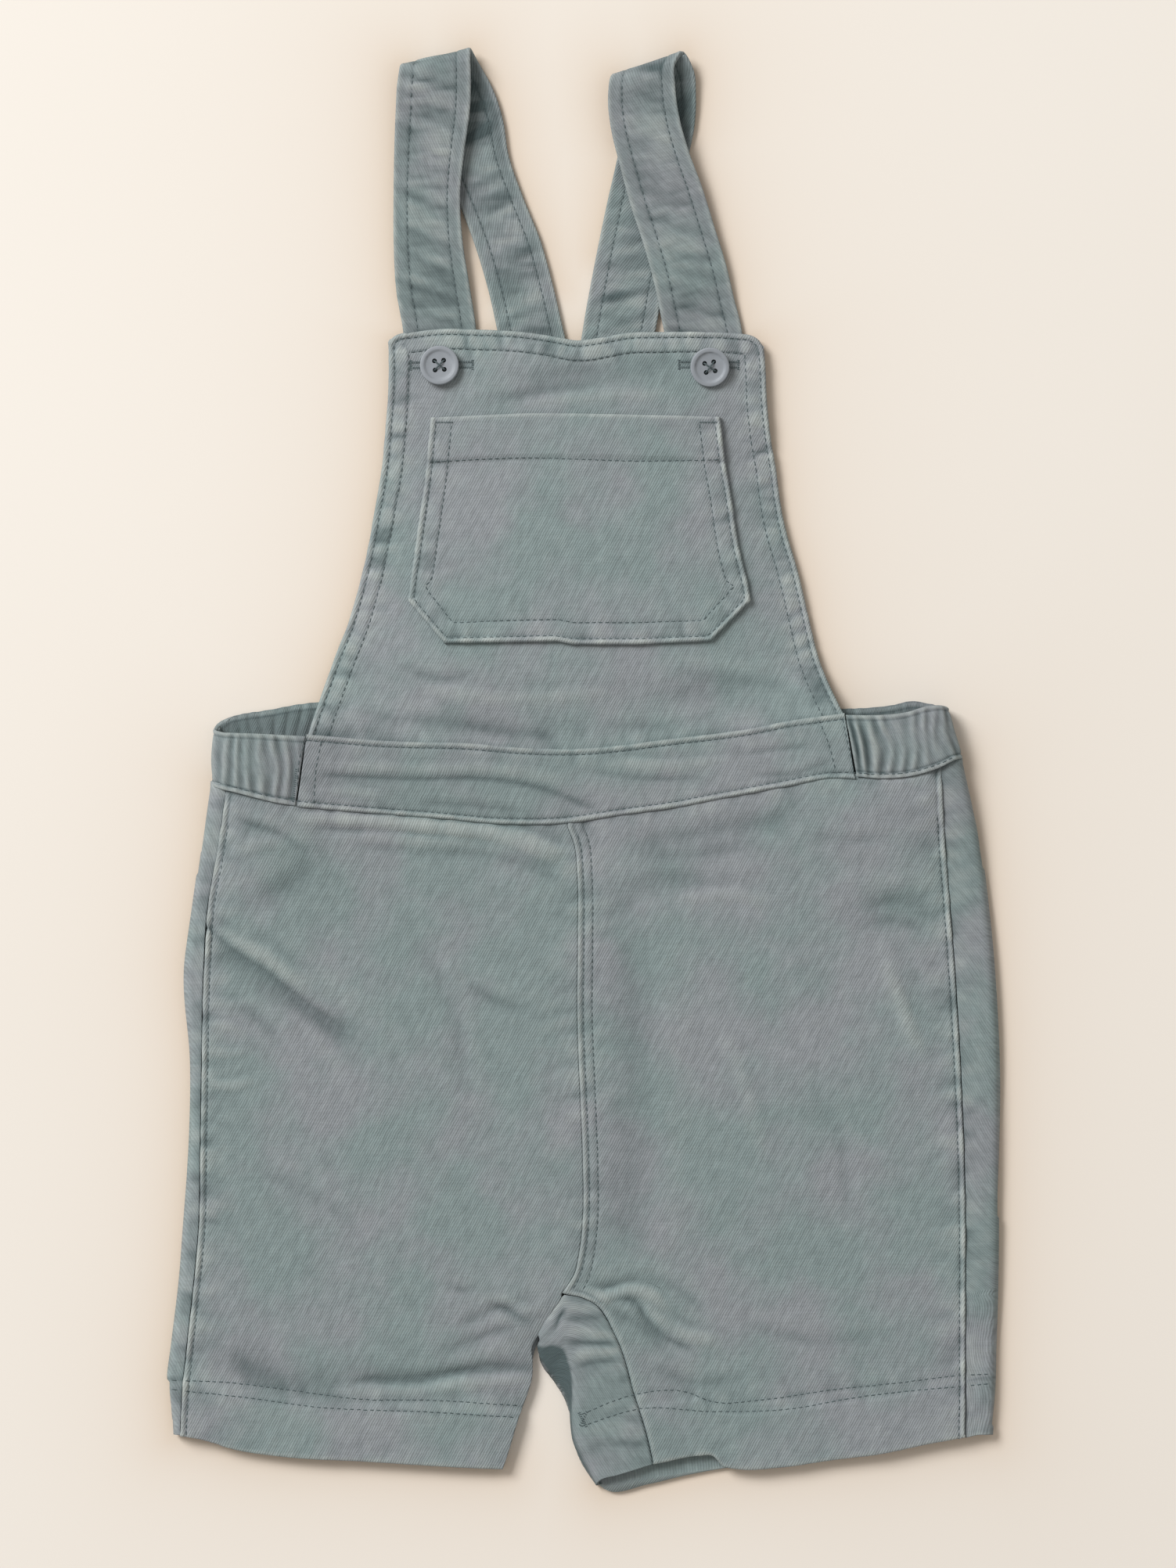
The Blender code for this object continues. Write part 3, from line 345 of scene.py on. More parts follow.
def near_line(x, y, line):
    """Distance of each point from a line, its place along it, and its signed distance."""
    away = np.full(x.shape, 1e6)
    place = np.zeros(x.shape)
    side = np.ones(x.shape)
    start = 0.0
    for (x0, y0), (x1, y1) in zip(line[:-1], line[1:]):
        dx, dy = x1 - x0, y1 - y0
        size = math.hypot(dx, dy)
        part = np.clip(((x - x0) * dx + (y - y0) * dy) / size**2, 0.0, 1.0)
        gap_x, gap_y = x - x0 - part * dx, y - y0 - part * dy
        here = np.hypot(gap_x, gap_y)
        closer = here < away
        away = np.where(closer, here, away)
        place = np.where(closer, start + part * size, place)
        side = np.where(closer, np.where(dx * gap_y > dy * gap_x, 1.0, -1.0), side)
        start += size
    return away, place, side * away


def wander(x, y, seed):
    """Smooth random values from -1 to 1, with a hump or a hollow about every unit."""
    cells = np.random.default_rng(seed).uniform(-1.0, 1.0, (64, 64))
    column, row = np.floor(x).astype(int), np.floor(y).astype(int)
    u, v = x - column, y - row
    u, v = u * u * (3 - 2 * u), v * v * (3 - 2 * v)
    corners = [cells[(column + i) % 64, (row + j) % 64] for j in (0, 1) for i in (0, 1)]
    return (corners[0] * (1 - u) + corners[1] * u) * (1 - v) + (corners[2] * (1 - u) + corners[3] * u) * v


def hump(distance, width):
    """A soft round hump."""
    return np.exp(-((distance / width) ** 2))


def puckers(x, y, line, pitch, reach, seed):
    """Uneven small waves square to a sewn line, which die out away from it."""
    away, place, signed = near_line(x, y, line)
    slant = 0.25 * signed
    wave = wander((place + slant) * 2.0 / pitch, signed / 11.0 + 5.0, seed)
    wave += 0.5 * wander((place - slant) * 3.7 / pitch, signed / 7.0 + 9.0, seed + 1)
    return wave * hump(away, reach)


def folds(x, y, table, taper=9.0):
    """Height of soft folds, each fading at its ends, with a low ridge beside each trough."""
    total = np.zeros_like(x)
    for index, (width, height, points) in enumerate(table):
        line = smooth_line(points, 4)
        away, place, signed = near_line(x, y, line)
        ends = np.minimum(place, reach_along(line)[-1] - place)
        fade = np.clip(0.35 + ends / taper, 0.0, 1.0) * (1 + 0.25 * wander(place / 13.0, place * 0, index))
        shape = hump(away, width) - 0.3 * hump(signed - 1.9 * width, width)
        total += height * fade * shape
    return total


def leg_rise(x, y):
    """Underside of the front legs above the floor, with the main folds."""
    below_band = np.maximum(value_at(BAND_FOOT, x) - y, 0.0)
    fade = hump(below_band, WAIST_FADE)
    from_crotch = np.hypot(x - CROTCH_PLACE[0], y - CROTCH_PLACE[1])
    rise = LEG_RISE + (value_at(WAIST_RISE, x) - LEG_RISE) * fade
    rise += CROTCH_RISE * hump(from_crotch, CROTCH_SPREAD) + folds(x, y, MAIN_FOLDS)
    return np.maximum(rise, LEAST_RISE)


def drape(x, y, seed=3):
    """Broad, shallow unevenness of cloth that lies on cloth."""
    return 0.22 * wander(x / 19.0, y / 23.0, seed) + 0.1 * wander(x / 8.0 + y / 15.0, y / 9.0, seed + 1)


PIPING = 2.2
RIM_STEPS = (0.25, 0.6, 1.0, 1.4, 1.8, 2.1, 2.4, 2.8, 3.6, 4.6)


def piped_edge(distance, place, seed):
    """A folded edge: the raised, abraded rim, and the sunk line of stitches inside it with painted shade.
    """
    uneven = 0.85 + 0.35 * wander(place / 2.1, place * 0 + 0.5, seed)
    uneven += 0.4 * wander(place / 8.0, place * 0 + 3.5, seed)
    rim = hump(distance - 0.4 * PIPING, 0.36 * PIPING) * uneven
    sunk = hump(distance - PIPING - 0.1, 0.4)
    height = 0.38 * rim - 0.28 * sunk - 0.5 * hump(distance, 0.28)
    return height, 0.75 * rim - 0.5 * sunk


def stitched_line(distance):
    """A sunk line of stitches inside a piece, with painted shade along it."""
    sunk = hump(distance, 0.45)
    return -0.25 * sunk, -0.45 * sunk


def make_cloth(name, nets, wall, facing, offset=1.0, weld=None):
    """A wall of cloth from point nets (mm), each with its share of the wall, abrasion and painted shade,
    and cut.
    """
    parts = []
    for points, share, wear_and_shade, cut in nets:
        rows, columns = points.shape[:2]
        bpy.ops.object.select_all(action="DESELECT")
        bpy.ops.mesh.primitive_grid_add(x_subdivisions=columns - 1, y_subdivisions=rows - 1, size=1.0)
        piece = bpy.context.object
        mesh = piece.data
        count = len(mesh.vertices)
        spots = np.empty(count * 3)
        mesh.vertices.foreach_get("co", spots)
        spots = spots.reshape(-1, 3)
        column = np.rint((spots[:, 0] + 0.5) * (columns - 1)).astype(int)
        row = np.rint((0.5 - spots[:, 1]) * (rows - 1)).astype(int)
        mesh.vertices.foreach_set("co", (points[row, column] * MM).ravel())
        corners = np.empty(len(mesh.loops), int)
        mesh.loops.foreach_get("vertex_index", corners)
        mesh.uv_layers[0].name = "cut"
        mesh.uv_layers[0].data.foreach_set("uv", (cut[row, column][corners] * MM).ravel())
        # This attribute lightens abraded rims and ridges, and paints shade into troughs, grooves and
        # hollows.
        wear_and_shade_layer = mesh.attributes.new("wear_and_shade", "FLOAT", "POINT")
        wear_and_shade_layer.data.foreach_set("value", wear_and_shade[row, column].astype(np.float32))
        group = piece.vertex_groups.new(name="thickness")
        for index, weight in enumerate(np.clip(share[row, column], 0.05, 1.0)):
            group.add([index], float(weight), "REPLACE")
        parts.append(piece)
    if len(parts) > 1:
        for part in parts:
            part.select_set(True)
        bpy.context.view_layer.objects.active = parts[0]
        bpy.ops.object.join()
        piece = bpy.context.object
        bpy.ops.object.mode_set(mode="EDIT")
        bpy.ops.mesh.select_all(action="SELECT")
        bpy.ops.mesh.remove_doubles(threshold=weld * MM)
        bpy.ops.mesh.normals_make_consistent(inside=False)
        bpy.ops.object.mode_set(mode="OBJECT")
    mesh = piece.data
    piece.name = mesh.name = name
    if facing * sum(face.normal.z * face.area for face in mesh.polygons) < 0:
        mesh.flip_normals()
    bpy.ops.object.modifier_add(type="SOLIDIFY")
    shell = piece.modifiers[-1]
    shell.thickness = wall * MM
    shell.offset = offset
    shell.vertex_group = "thickness"
    bpy.ops.object.modifier_apply(modifier=shell.name)
    piece.data.shade_smooth()
    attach(piece, "root")
    return piece


TWILL_PITCH = 0.00085
TWILL_ANGLE = 62.0
CLOTH_TONE = (0.213, 0.270, 0.272, 1.0)
WORN_TONE = (0.385, 0.425, 0.410, 1.0)
# The next tone is painted shade, mixed in where the cloth sinks into troughs, grooves and hollows.
PAINTED_SHADE_TONE = (0.075, 0.105, 0.110, 1.0)
MAUVE_TONE = (0.250, 0.274, 0.292, 1.0)


def new_group(name, inputs, outputs):
    """An empty shader node group with its sockets, and its two end nodes."""
    group = bpy.data.node_groups.new(name, "ShaderNodeTree")
    for socket, kind in inputs:
        group.interface.new_socket(socket, in_out="INPUT", socket_type="NodeSocket" + kind)
    for socket, kind in outputs:
        group.interface.new_socket(socket, in_out="OUTPUT", socket_type="NodeSocket" + kind)
    return group, group.nodes.new("NodeGroupInput").outputs, group.nodes.new("NodeGroupOutput").inputs


def math_node(tree, operation, first, second=0.0, third=0.0, clamp=False):
    made = add_node(tree, "ShaderNodeMath", {0: first, 1: second, 2: third}, operation=operation)
    made.use_clamp = clamp
    return made.outputs[0]


def make_twill_group():
    """Steep lines of twill, broken up by the cross threads, and slubs along both threads."""
    group, given, result = new_group(
        "twill_weave", [("Cut", "Vector"), ("Pitch", "Float")], [("Rib", "Float"), ("Slub", "Float")])
    angle = math.radians(TWILL_ANGLE)
    square = add_node(group, "ShaderNodeVectorMath", {
        0: given["Cut"], 1: (math.sin(angle), -math.cos(angle), 0.0)}, operation="DOT_PRODUCT")
    loose = add_node(group, "ShaderNodeTexNoise", {"Vector": given["Cut"], "Scale": 420.0, "Detail": 2.0})
    turns = math_node(group, "DIVIDE", square.outputs["Value"], given["Pitch"])
    turns = math_node(group, "ADD", turns, math_node(group, "MULTIPLY", loose.outputs["Fac"], 0.7))
    rib = math_node(group, "SINE", math_node(group, "MULTIPLY", turns, 2 * math.pi))
    picks = add_node(group, "ShaderNodeSeparateXYZ", {0: given["Cut"]}).outputs["Y"]
    picks = math_node(group, "DIVIDE", picks, math_node(group, "MULTIPLY", given["Pitch"], 0.5))
    picks = math_node(group, "SINE", math_node(group, "MULTIPLY", picks, 2 * math.pi))
    broken = math_node(group, "MULTIPLY", rib, math_node(group, "MULTIPLY_ADD", picks, 0.25, 0.75))
    group.links.new(math_node(group, "MULTIPLY_ADD", broken, 0.5, 0.5), result["Rib"])
    length = add_node(group, "ShaderNodeVectorMath", {
        0: given["Cut"], 1: (math.cos(angle), math.sin(angle), 0.0)}, operation="DOT_PRODUCT")
    turned = add_node(group, "ShaderNodeCombineXYZ", {
        0: square.outputs["Value"], 1: length.outputs["Value"]}).outputs[0]
    slubs = []
    for place, stretch in ((turned, (620.0, 130.0, 1.0)), (given["Cut"], (110.0, 1300.0, 1.0))):
        threads = add_node(group, "ShaderNodeVectorMath", {0: place, 1: stretch}, operation="MULTIPLY")
        streak = add_node(group, "ShaderNodeTexNoise", {
            "Vector": threads.outputs[0], "Scale": 1.0, "Detail": 3.0, "Roughness": 0.6})
        slubs.append(add_node(group, "ShaderNodeMapRange", {
            "Value": streak.outputs["Fac"], "From Min": 0.32, "From Max": 0.68}).outputs[0])
    both = math_node(group, "MULTIPLY_ADD", slubs[1], 0.3, math_node(group, "MULTIPLY", slubs[0], 0.7))
    group.links.new(both, result["Slub"])
    return group


def make_washed_group():
    """Colour and height of garment-washed cloth: abraded lighter where it stands up, painted shade where it
    sinks.
    """
    group, given, result = new_group("washed_cloth", [
        ("Cloth", "Color"), ("Worn", "Color"), ("Painted shade", "Color"), ("Patch", "Color"), ("Wear and shade", "Float"),
        ("Rib", "Float"), ("Slub", "Float"), ("Place", "Vector"),
    ], [("Color", "Color"), ("Roughness", "Float"), ("Height", "Float")])
    cloud = add_node(group, "ShaderNodeTexNoise", {"Vector": given["Place"], "Scale": 26.0, "Detail": 4.0})
    patchy = add_node(group, "ShaderNodeMapRange", {
        "Value": cloud.outputs["Fac"], "From Min": 0.42, "From Max": 0.62})
    colour = add_node(group, "ShaderNodeMix", {
        "Factor": patchy.outputs[0], "A": given["Cloth"], "B": given["Patch"]}, data_type="RGBA")
    speck = add_node(group, "ShaderNodeTexNoise", {"Vector": given["Place"], "Scale": 190.0, "Detail": 3.0})
    rubbed_and_shaded = math_node(group, "MULTIPLY_ADD", speck.outputs["Fac"], 0.5, -0.25)
    rubbed_and_shaded = math_node(group, "ADD", given["Wear and shade"], rubbed_and_shaded)
    high = math_node(group, "MULTIPLY", rubbed_and_shaded, 0.62, clamp=True)
    # Below zero the attribute paints shade into troughs, grooves and hollows; random specks darken it
    # slightly too.
    low = math_node(group, "MULTIPLY", rubbed_and_shaded, -0.8, clamp=True)
    colour = add_node(group, "ShaderNodeMix", {
        "Factor": high, "A": colour.outputs["Result"], "B": given["Worn"]}, data_type="RGBA")
    colour = add_node(group, "ShaderNodeMix", {
        "Factor": low, "A": colour.outputs["Result"], "B": given["Painted shade"]}, data_type="RGBA")
    weave = math_node(group, "MULTIPLY_ADD", given["Rib"], 0.22, 0.71)
    weave = math_node(group, "MULTIPLY_ADD", given["Slub"], 0.36, weave)
    colour = add_node(group, "ShaderNodeVectorMath", {
        0: colour.outputs["Result"], 3: weave}, operation="SCALE")
    group.links.new(colour.outputs[0], result["Color"])
    rough = math_node(group, "MULTIPLY_ADD", given["Rib"], -0.08, 0.92)
    group.links.new(rough, result["Roughness"])
    height = math_node(group, "MULTIPLY_ADD", given["Slub"], 0.8, given["Rib"])
    group.links.new(height, result["Height"])
    return group


twill_weave = make_twill_group()
washed_cloth = make_washed_group()


def twill_material(name, shade=1.0, weave=TWILL_PITCH):
    """Cotton twill in one tone, abraded lighter and given painted shade where the piece's own attribute
    says so.
    """
    def toned(colour):
        return (colour[0] * shade, colour[1] * shade, colour[2] * shade, 1.0)

    material, tree, shader = new_surface(name)
    cut = add_node(tree, "ShaderNodeUVMap", uv_map="cut")
    wear_and_shade = add_node(tree, "ShaderNodeAttribute", attribute_name="wear_and_shade")
    place = add_node(tree, "ShaderNodeTexCoord")
    threads = add_node(tree, "ShaderNodeGroup", node_tree=twill_weave)
    threads.inputs["Pitch"].default_value = weave
    tree.links.new(cut.outputs[0], threads.inputs["Cut"])
    washed = add_node(tree, "ShaderNodeGroup", node_tree=washed_cloth)
    for socket, value in (
            ("Cloth", toned(CLOTH_TONE)), ("Worn", toned(WORN_TONE)), ("Painted shade", toned(PAINTED_SHADE_TONE)),
            ("Patch", toned(MAUVE_TONE))):
        washed.inputs[socket].default_value = value
    tree.links.new(wear_and_shade.outputs["Fac"], washed.inputs["Wear and shade"])
    tree.links.new(threads.outputs["Rib"], washed.inputs["Rib"])
    tree.links.new(threads.outputs["Slub"], washed.inputs["Slub"])
    tree.links.new(place.outputs["Object"], washed.inputs["Place"])
    relief = add_node(tree, "ShaderNodeBump", {
        "Strength": 0.7, "Distance": 0.00018, "Height": washed.outputs["Height"]})
    tree.links.new(washed.outputs["Color"], shader.inputs["Base Color"])
    tree.links.new(washed.outputs["Roughness"], shader.inputs["Roughness"])
    tree.links.new(relief.outputs["Normal"], shader.inputs["Normal"])
    shader.inputs["Specular IOR Level"].default_value = 0.25
    shader.inputs["Sheen Weight"].default_value = 0.08
    shader.inputs["Sheen Roughness"].default_value = 0.5
    return material


leg_twill = twill_material("leg_twill")


def round_side(seam, edge, rise, under, side, wall):
    """Inner face of a leg from its seam on the front, round the side, to the resting layer."""
    inner_edge = edge[0] - side * wall
    middle = 0.5 * (rise + under)
    half = 0.5 * (rise - under)
    turn = min(3.0, 0.45 * abs(inner_edge - seam[0]))
    points = [(seam[0], seam[1], rise), (inner_edge - side * turn, edge[1], rise)]
    for angle in (50, 0, -50):
        swing = math.radians(angle)
        points.append((
            inner_edge - side * turn * (1 - math.cos(swing)), edge[1], middle + half * math.sin(swing),
        ))
    points.append((inner_edge - side * turn, edge[1], under))
    return np.array(points)


def row_cut(net):
    """Where each point lies on the flat cut: along its row, and down its column."""
    steps = np.linalg.norm(np.diff(net, axis=1), axis=2)
    reach = np.concatenate([np.zeros((len(net), 1)), np.cumsum(steps, axis=1)], axis=1)
    return np.dstack([reach, net[:, :, 1]])


SIDE_COLUMNS = 26
BACK_PITCH = 1.7
seam_shift = 0.5 * PIPING


def back_surface(net, under_folds, side_seam, seed):
    """Share of the hem's wall, and abrasion and painted shade, of a back leg; its underside stays flat on
    the floor.
    """
    x, y, z = net[:, :, 0], net[:, :, 1], net[:, :, 2]
    thick = np.where(z > WALL + 1.0, WALL, np.minimum(z, HEM_WALL))
    wear_and_shade = np.zeros(x.shape)
    away, place, _ = near_line(x, y, side_seam)
    on_top = np.clip((z - WALL - 0.6) / 1.0, 0.0, 1.0)
    wave = puckers(x, y, side_seam, 8.0, 9.0, seed)
    # Puckers along the side seam: lighter crests with painted shade between them, and painted shade along
    # the seam.
    wear_and_shade += on_top * 0.5 * wave - 0.35 * on_top * hump(away, 0.8)
    from_hem = y - net[-1, :, 1][None, :]
    # A lighter, abraded hem edge, and a line of painted shade at the top of the turned-up hem.
    wear_and_shade += 0.6 * hump(from_hem, 1.0) - 0.6 * hump(from_hem - HEM_DEPTH, 0.6)
    under = 1.0 - on_top
    troughs = folds(x, y, under_folds, 14.0)
    gathers = wander(x / 3.2, y / 40.0, seed + 2) * hump(y + 3.0, 20.0)
    uneven = 0.25 * wander(x / 21.0, y / 27.0, seed + 3)
    thick -= under * np.clip(0.45 * gathers - troughs + uneven, 0.0, 0.6)
    wear_and_shade += under * (0.35 * gathers + 0.3 * troughs)
    return thick / HEM_WALL, wear_and_shade


# Columns width, height, points: folds of the cloth that comes round the inner leg
WRAP_FOLDS = (
    (1.4, 0.6, ((-8, -197.5), (-2, -199), (6, -198.5))), (1.3, -0.6, ((-9, -202), (-2, -203), (8, -202.5))),
    (1.5, 0.7, ((-6, -207), (2, -208), (12, -210))), (1.4, -0.7, ((-7, -211.5), (2, -212), (13, -213))),
    (1.6, 0.6, ((-4, -217), (4, -215.5), (12, -214.8))), (1.6, -0.6, ((-2, -221), (6, -219), (15, -219))),
    (1.2, 0.6, ((-8, -196.5), (-11, -201), (-13, -205))),
    (1.1, -0.8, ((-5.5, -198), (-8.5, -202.5), (-10.5, -207))),
    (2.0, 0.3, ((0, -246), (10, -242), (20, -244))), (2.0, -0.3, ((2, -252), (12, -249), (22, -251))),
)

# Columns width, height, points: shallow folds pressed into the underside, which lies on the floor
UNDER_FOLDS_LEFT = (
    (5.0, -0.5, ((-130, -40), (-100, -62), (-70, -70))), (5.0, -0.4, ((-20, -36), (-60, -30), (-96, -38))),
    (6.0, -0.4, ((-120, -120), (-92, -138), (-70, -146))),
    (5.0, -0.5, ((-12, -188), (-40, -196), (-74, -190))),
    (5.0, -0.4, ((-30, -214), (-70, -222), (-120, -214))),
    (4.0, -0.3, ((-40, -90), (-52, -130), (-46, -160))),
)
UNDER_FOLDS_RIGHT = (
    (5.0, -0.5, ((128, -36), (104, -58), (66, -64))), (5.0, -0.4, ((18, -30), (52, -38), (90, -30))),
    (6.0, -0.4, ((120, -140), (96, -128), (64, -136))), (5.0, -0.5, ((8, -190), (40, -200), (80, -194))),
    (5.0, -0.4, ((28, -224), (70, -216), (124, -222))), (4.0, -0.3, ((38, -84), (50, -120), (44, -170))),
)


def tuck_head(net):
    """Bring the head of a back leg under the front band, and to the back band where it rests."""
    head = net[0]
    on_front = value_at(BAND_FOOT, head[:, 0]) + TUCK
    on_back = value_at(BACK_BAND_FOOT, head[:, 0]) - 2.5 * SEAM_GAP
    head[:, 1] = np.where(head[:, 2] > 3.0, on_front, on_back)


def make_back_leg_left():
    upper = smooth_line(BACK_SEAM)
    lower = smooth_line(BACK_SEAM[-1:] + LEFT_INNER_LEG[4:])
    line = np.vstack([upper, lower[1:]])
    down = spread(reach_along(line)[-1], LEG_PITCH, (), (0.4, 1.2, 2.4))
    inner = beside(along(line, down, smooth=False), 1)
    side_seam = beside(along(LEFT_SIDE_SEAM, down), 1, seam_shift)
    seams = beside(side_seam, 1)
    edges = along(LEFT_EDGE, down)
    rise = leg_rise(seams[:, 0], seams[:, 1]) - 0.2
    hem_y = LEFT_EDGE[-1][1]
    rows = []
    for row, (seam, edge, end) in enumerate(zip(seams, edges, inner)):
        in_hem = np.clip((hem_y + HEM_DEPTH - edge[1]) / 1.5, 0.0, 1.0)
        under = WALL + (HEM_WALL - WALL) * in_hem
        side = along(round_side(seam, edge, rise[row], under, -1, under), even(SIDE_COLUMNS))
        part = even(int(145 / BACK_PITCH))[1:, None]
        run = np.column_stack([side[-1, :2] + part * (end - side[-1, :2]), np.full(len(part), under)])
        rows.append(np.vstack([side, run]))
    net = np.array(rows)
    tuck_head(net)
    share, wear_and_shade = back_surface(net, UNDER_FOLDS_LEFT, side_seam, 11)
    return make_cloth("back_leg_left_cloth", [(net, share, wear_and_shade, row_cut(net))], HEM_WALL, -1)


def make_back_leg_right():
    inseam = smooth_line(RIGHT_INSEAM)
    line = np.vstack([SEAM_TURN, inseam])
    centre_length = reach_along(smooth_line(BACK_SEAM))[-1]
    part = spread(reach_along(line)[-1], LEG_PITCH, (), (0.4, 1.2, 2.4))
    start = beside(along(line, part, smooth=False), 1)
    wrap = along(INNER_WRAP, part)
    turn = reach_along(line)[2] / reach_along(line)[-1]
    inseam_rise = leg_rise(inseam[:1, 0], inseam[:1, 1])[0]
    turned = np.interp(part, (0.0, 0.5 * turn, turn), (*SEAM_TURN_RISE, inseam_rise))
    start_rise = np.where(part < turn, turned, leg_rise(start[:, 0], start[:, 1]))
    rows = []
    for (x, y), z, (lip_x, lip_y, lip_z, edge_x, edge_y) in zip(start, start_rise, wrap):
        row = [(x, y, z - 0.15)]
        for share in (0.35, 0.7):
            bulge = 0.25 * math.sin(math.pi * share)
            row.append((x + share * (lip_x - x), y + share * (lip_y - y), z + share * (lip_z - z) + bulge))
        row.append((lip_x, lip_y, lip_z))
        row.append((0.4 * lip_x + 0.6 * edge_x, 0.4 * lip_y + 0.6 * edge_y, 0.45 * lip_z + 0.55 * WALL))
        row.append((edge_x + 0.6, edge_y, WALL + 0.12))
        rows.append(along(row, even(24)))
    inner_net = np.array(rows)
    upper = beside(along(BACK_SEAM, even(int(centre_length / LEG_PITCH))), -1)[:-1]
    starts = np.vstack([np.column_stack([upper, np.full(len(upper), WALL)]), inner_net[:, -1]])
    down = reach_along(starts) / reach_along(starts)[-1]
    side_seam = beside(along(RIGHT_SIDE_SEAM, down), -1, seam_shift)
    seams = beside(side_seam, -1)
    edges = along(RIGHT_EDGE, down)
    rise = leg_rise(seams[:, 0], seams[:, 1]) - 0.2
    rows = []
    for row, (seam, edge, begin) in enumerate(zip(seams, edges, starts)):
        side = along(round_side(seam, edge, rise[row], WALL, 1, WALL), even(SIDE_COLUMNS))[::-1]
        part = even(int(150 / BACK_PITCH))[:-1, None]
        run = np.column_stack([
            begin[:2] + part * (side[0, :2] - begin[:2]), np.full(len(part), WALL)])
        run[0] = begin
        rows.append(np.vstack([run, side]))
    net = np.array(rows)
    hem = along(BACK_HEM_RIGHT, even(net.shape[1]))
    flat = net[-1, 1:, 2] < 2.2
    net[-1, 1:, 1] = np.where(flat, value_at(hem, net[-1, 1:, 0]), net[-1, 1:, 1])
    tuck_head(net)
    share, wear_and_shade = back_surface(net, UNDER_FOLDS_RIGHT, side_seam, 17)
    x, y = inner_net[:, :, 0], inner_net[:, :, 1]
    small = puckers(x, y, inseam, 6.0, 14.0, 23)
    crumple = folds(x, y, WRAP_FOLDS, 4.0)
    inner_net[:, :, 2] += (0.2 * small + 0.7 * crumple) * np.sin(np.pi * even(24))[None, :]
    # Painted shade: past the lip, the cloth turning under round the inner leg is painted dark as the shaded
    # hollow between the legs. The wrap's folds are lighter on their ridges, with painted shade in their
    # troughs.
    past_lip = np.maximum(wrap[:, None, 0] - x, wrap[:, None, 1] - y)
    wrap_wear_and_shade = 0.4 * small + 1.1 * crumple - 0.1 - 1.5 * np.clip((past_lip - 0.4) / 1.6, 0.0, 1.0)
    inner = (inner_net, np.full(x.shape, WALL / HEM_WALL), wrap_wear_and_shade, row_cut(inner_net))
    nets = [inner, (net, share, wear_and_shade, row_cut(net))]
    return make_cloth("back_leg_right_cloth", nets, HEM_WALL, -1, weld=0.05)


def dress(piece, node, material):
    """Give a piece its material and let it stand for its solid."""
    piece.data.materials.append(material)
    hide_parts(node)


for name, make, cut_width, cut_length in (
        ("back_leg_left", make_back_leg_left, 0.190, 0.300),
        ("back_leg_right", make_back_leg_right, 0.195, 0.300)):
    back_leg = make()
    dress(back_leg, name, leg_twill)

# Front legs: two panels of the same twill that lie on the back ones, joined by the centre seam. The
# seam's allowances are turned to the right and sewn down twice; the hems are turned up and sewn twice.
FELL_WIDTH = 5.6
LEG_WIDTH = 138.0
SEWN_WALL = 3.0
LEFT_HEM = (
    (-148.6, -246.9), (-140.9, -248.4), (-129.3, -251.9), (-111.9, -254.5), (-82.9, -256.2),
    (-48.1, -258.4), (-30.2, -259.3),
)
RIGHT_HEM = (
    (25.8, -257.3), (30.2, -256.5), (42.3, -254.2), (47.8, -254.2), (51.6, -258.0), (57.0, -259.1),
    (73.1, -258.5), (91.3, -255.9), (109.6, -253.6), (127.9, -249.8), (140.3, -247.5),
)
HEM_STEPS = (0.3, 0.9, 1.7, 3.0, 4.3)

# Columns x, y: the two rows of stitches in each hem
HEM_SEWING = {
    "front_leg_left": (
        ((-153.1, -226.1), (-132.5, -226.9), (-111.6, -229.5), (-80.6, -233.3), (-54.8, -233.6),
         (-21.8, -235.8)),
        ((-153.1, -229.5), (-132.5, -231.6), (-96.3, -236.2), (-54.8, -237.9), (-23.2, -240.0)),
    ),
    "front_leg_right": (
        ((-1.4, -238.8), (18.0, -231.6), (37.7, -230.4), (47.3, -234.0), (67.0, -233.3), (91.3, -229.8),
         (115.7, -227.2), (140.1, -224.3), (152.8, -223.7)),
        ((-1.4, -243.2), (21.8, -236.5), (47.3, -237.7), (73.1, -237.1), (103.5, -232.1), (152.8, -227.2)),
    ),
}


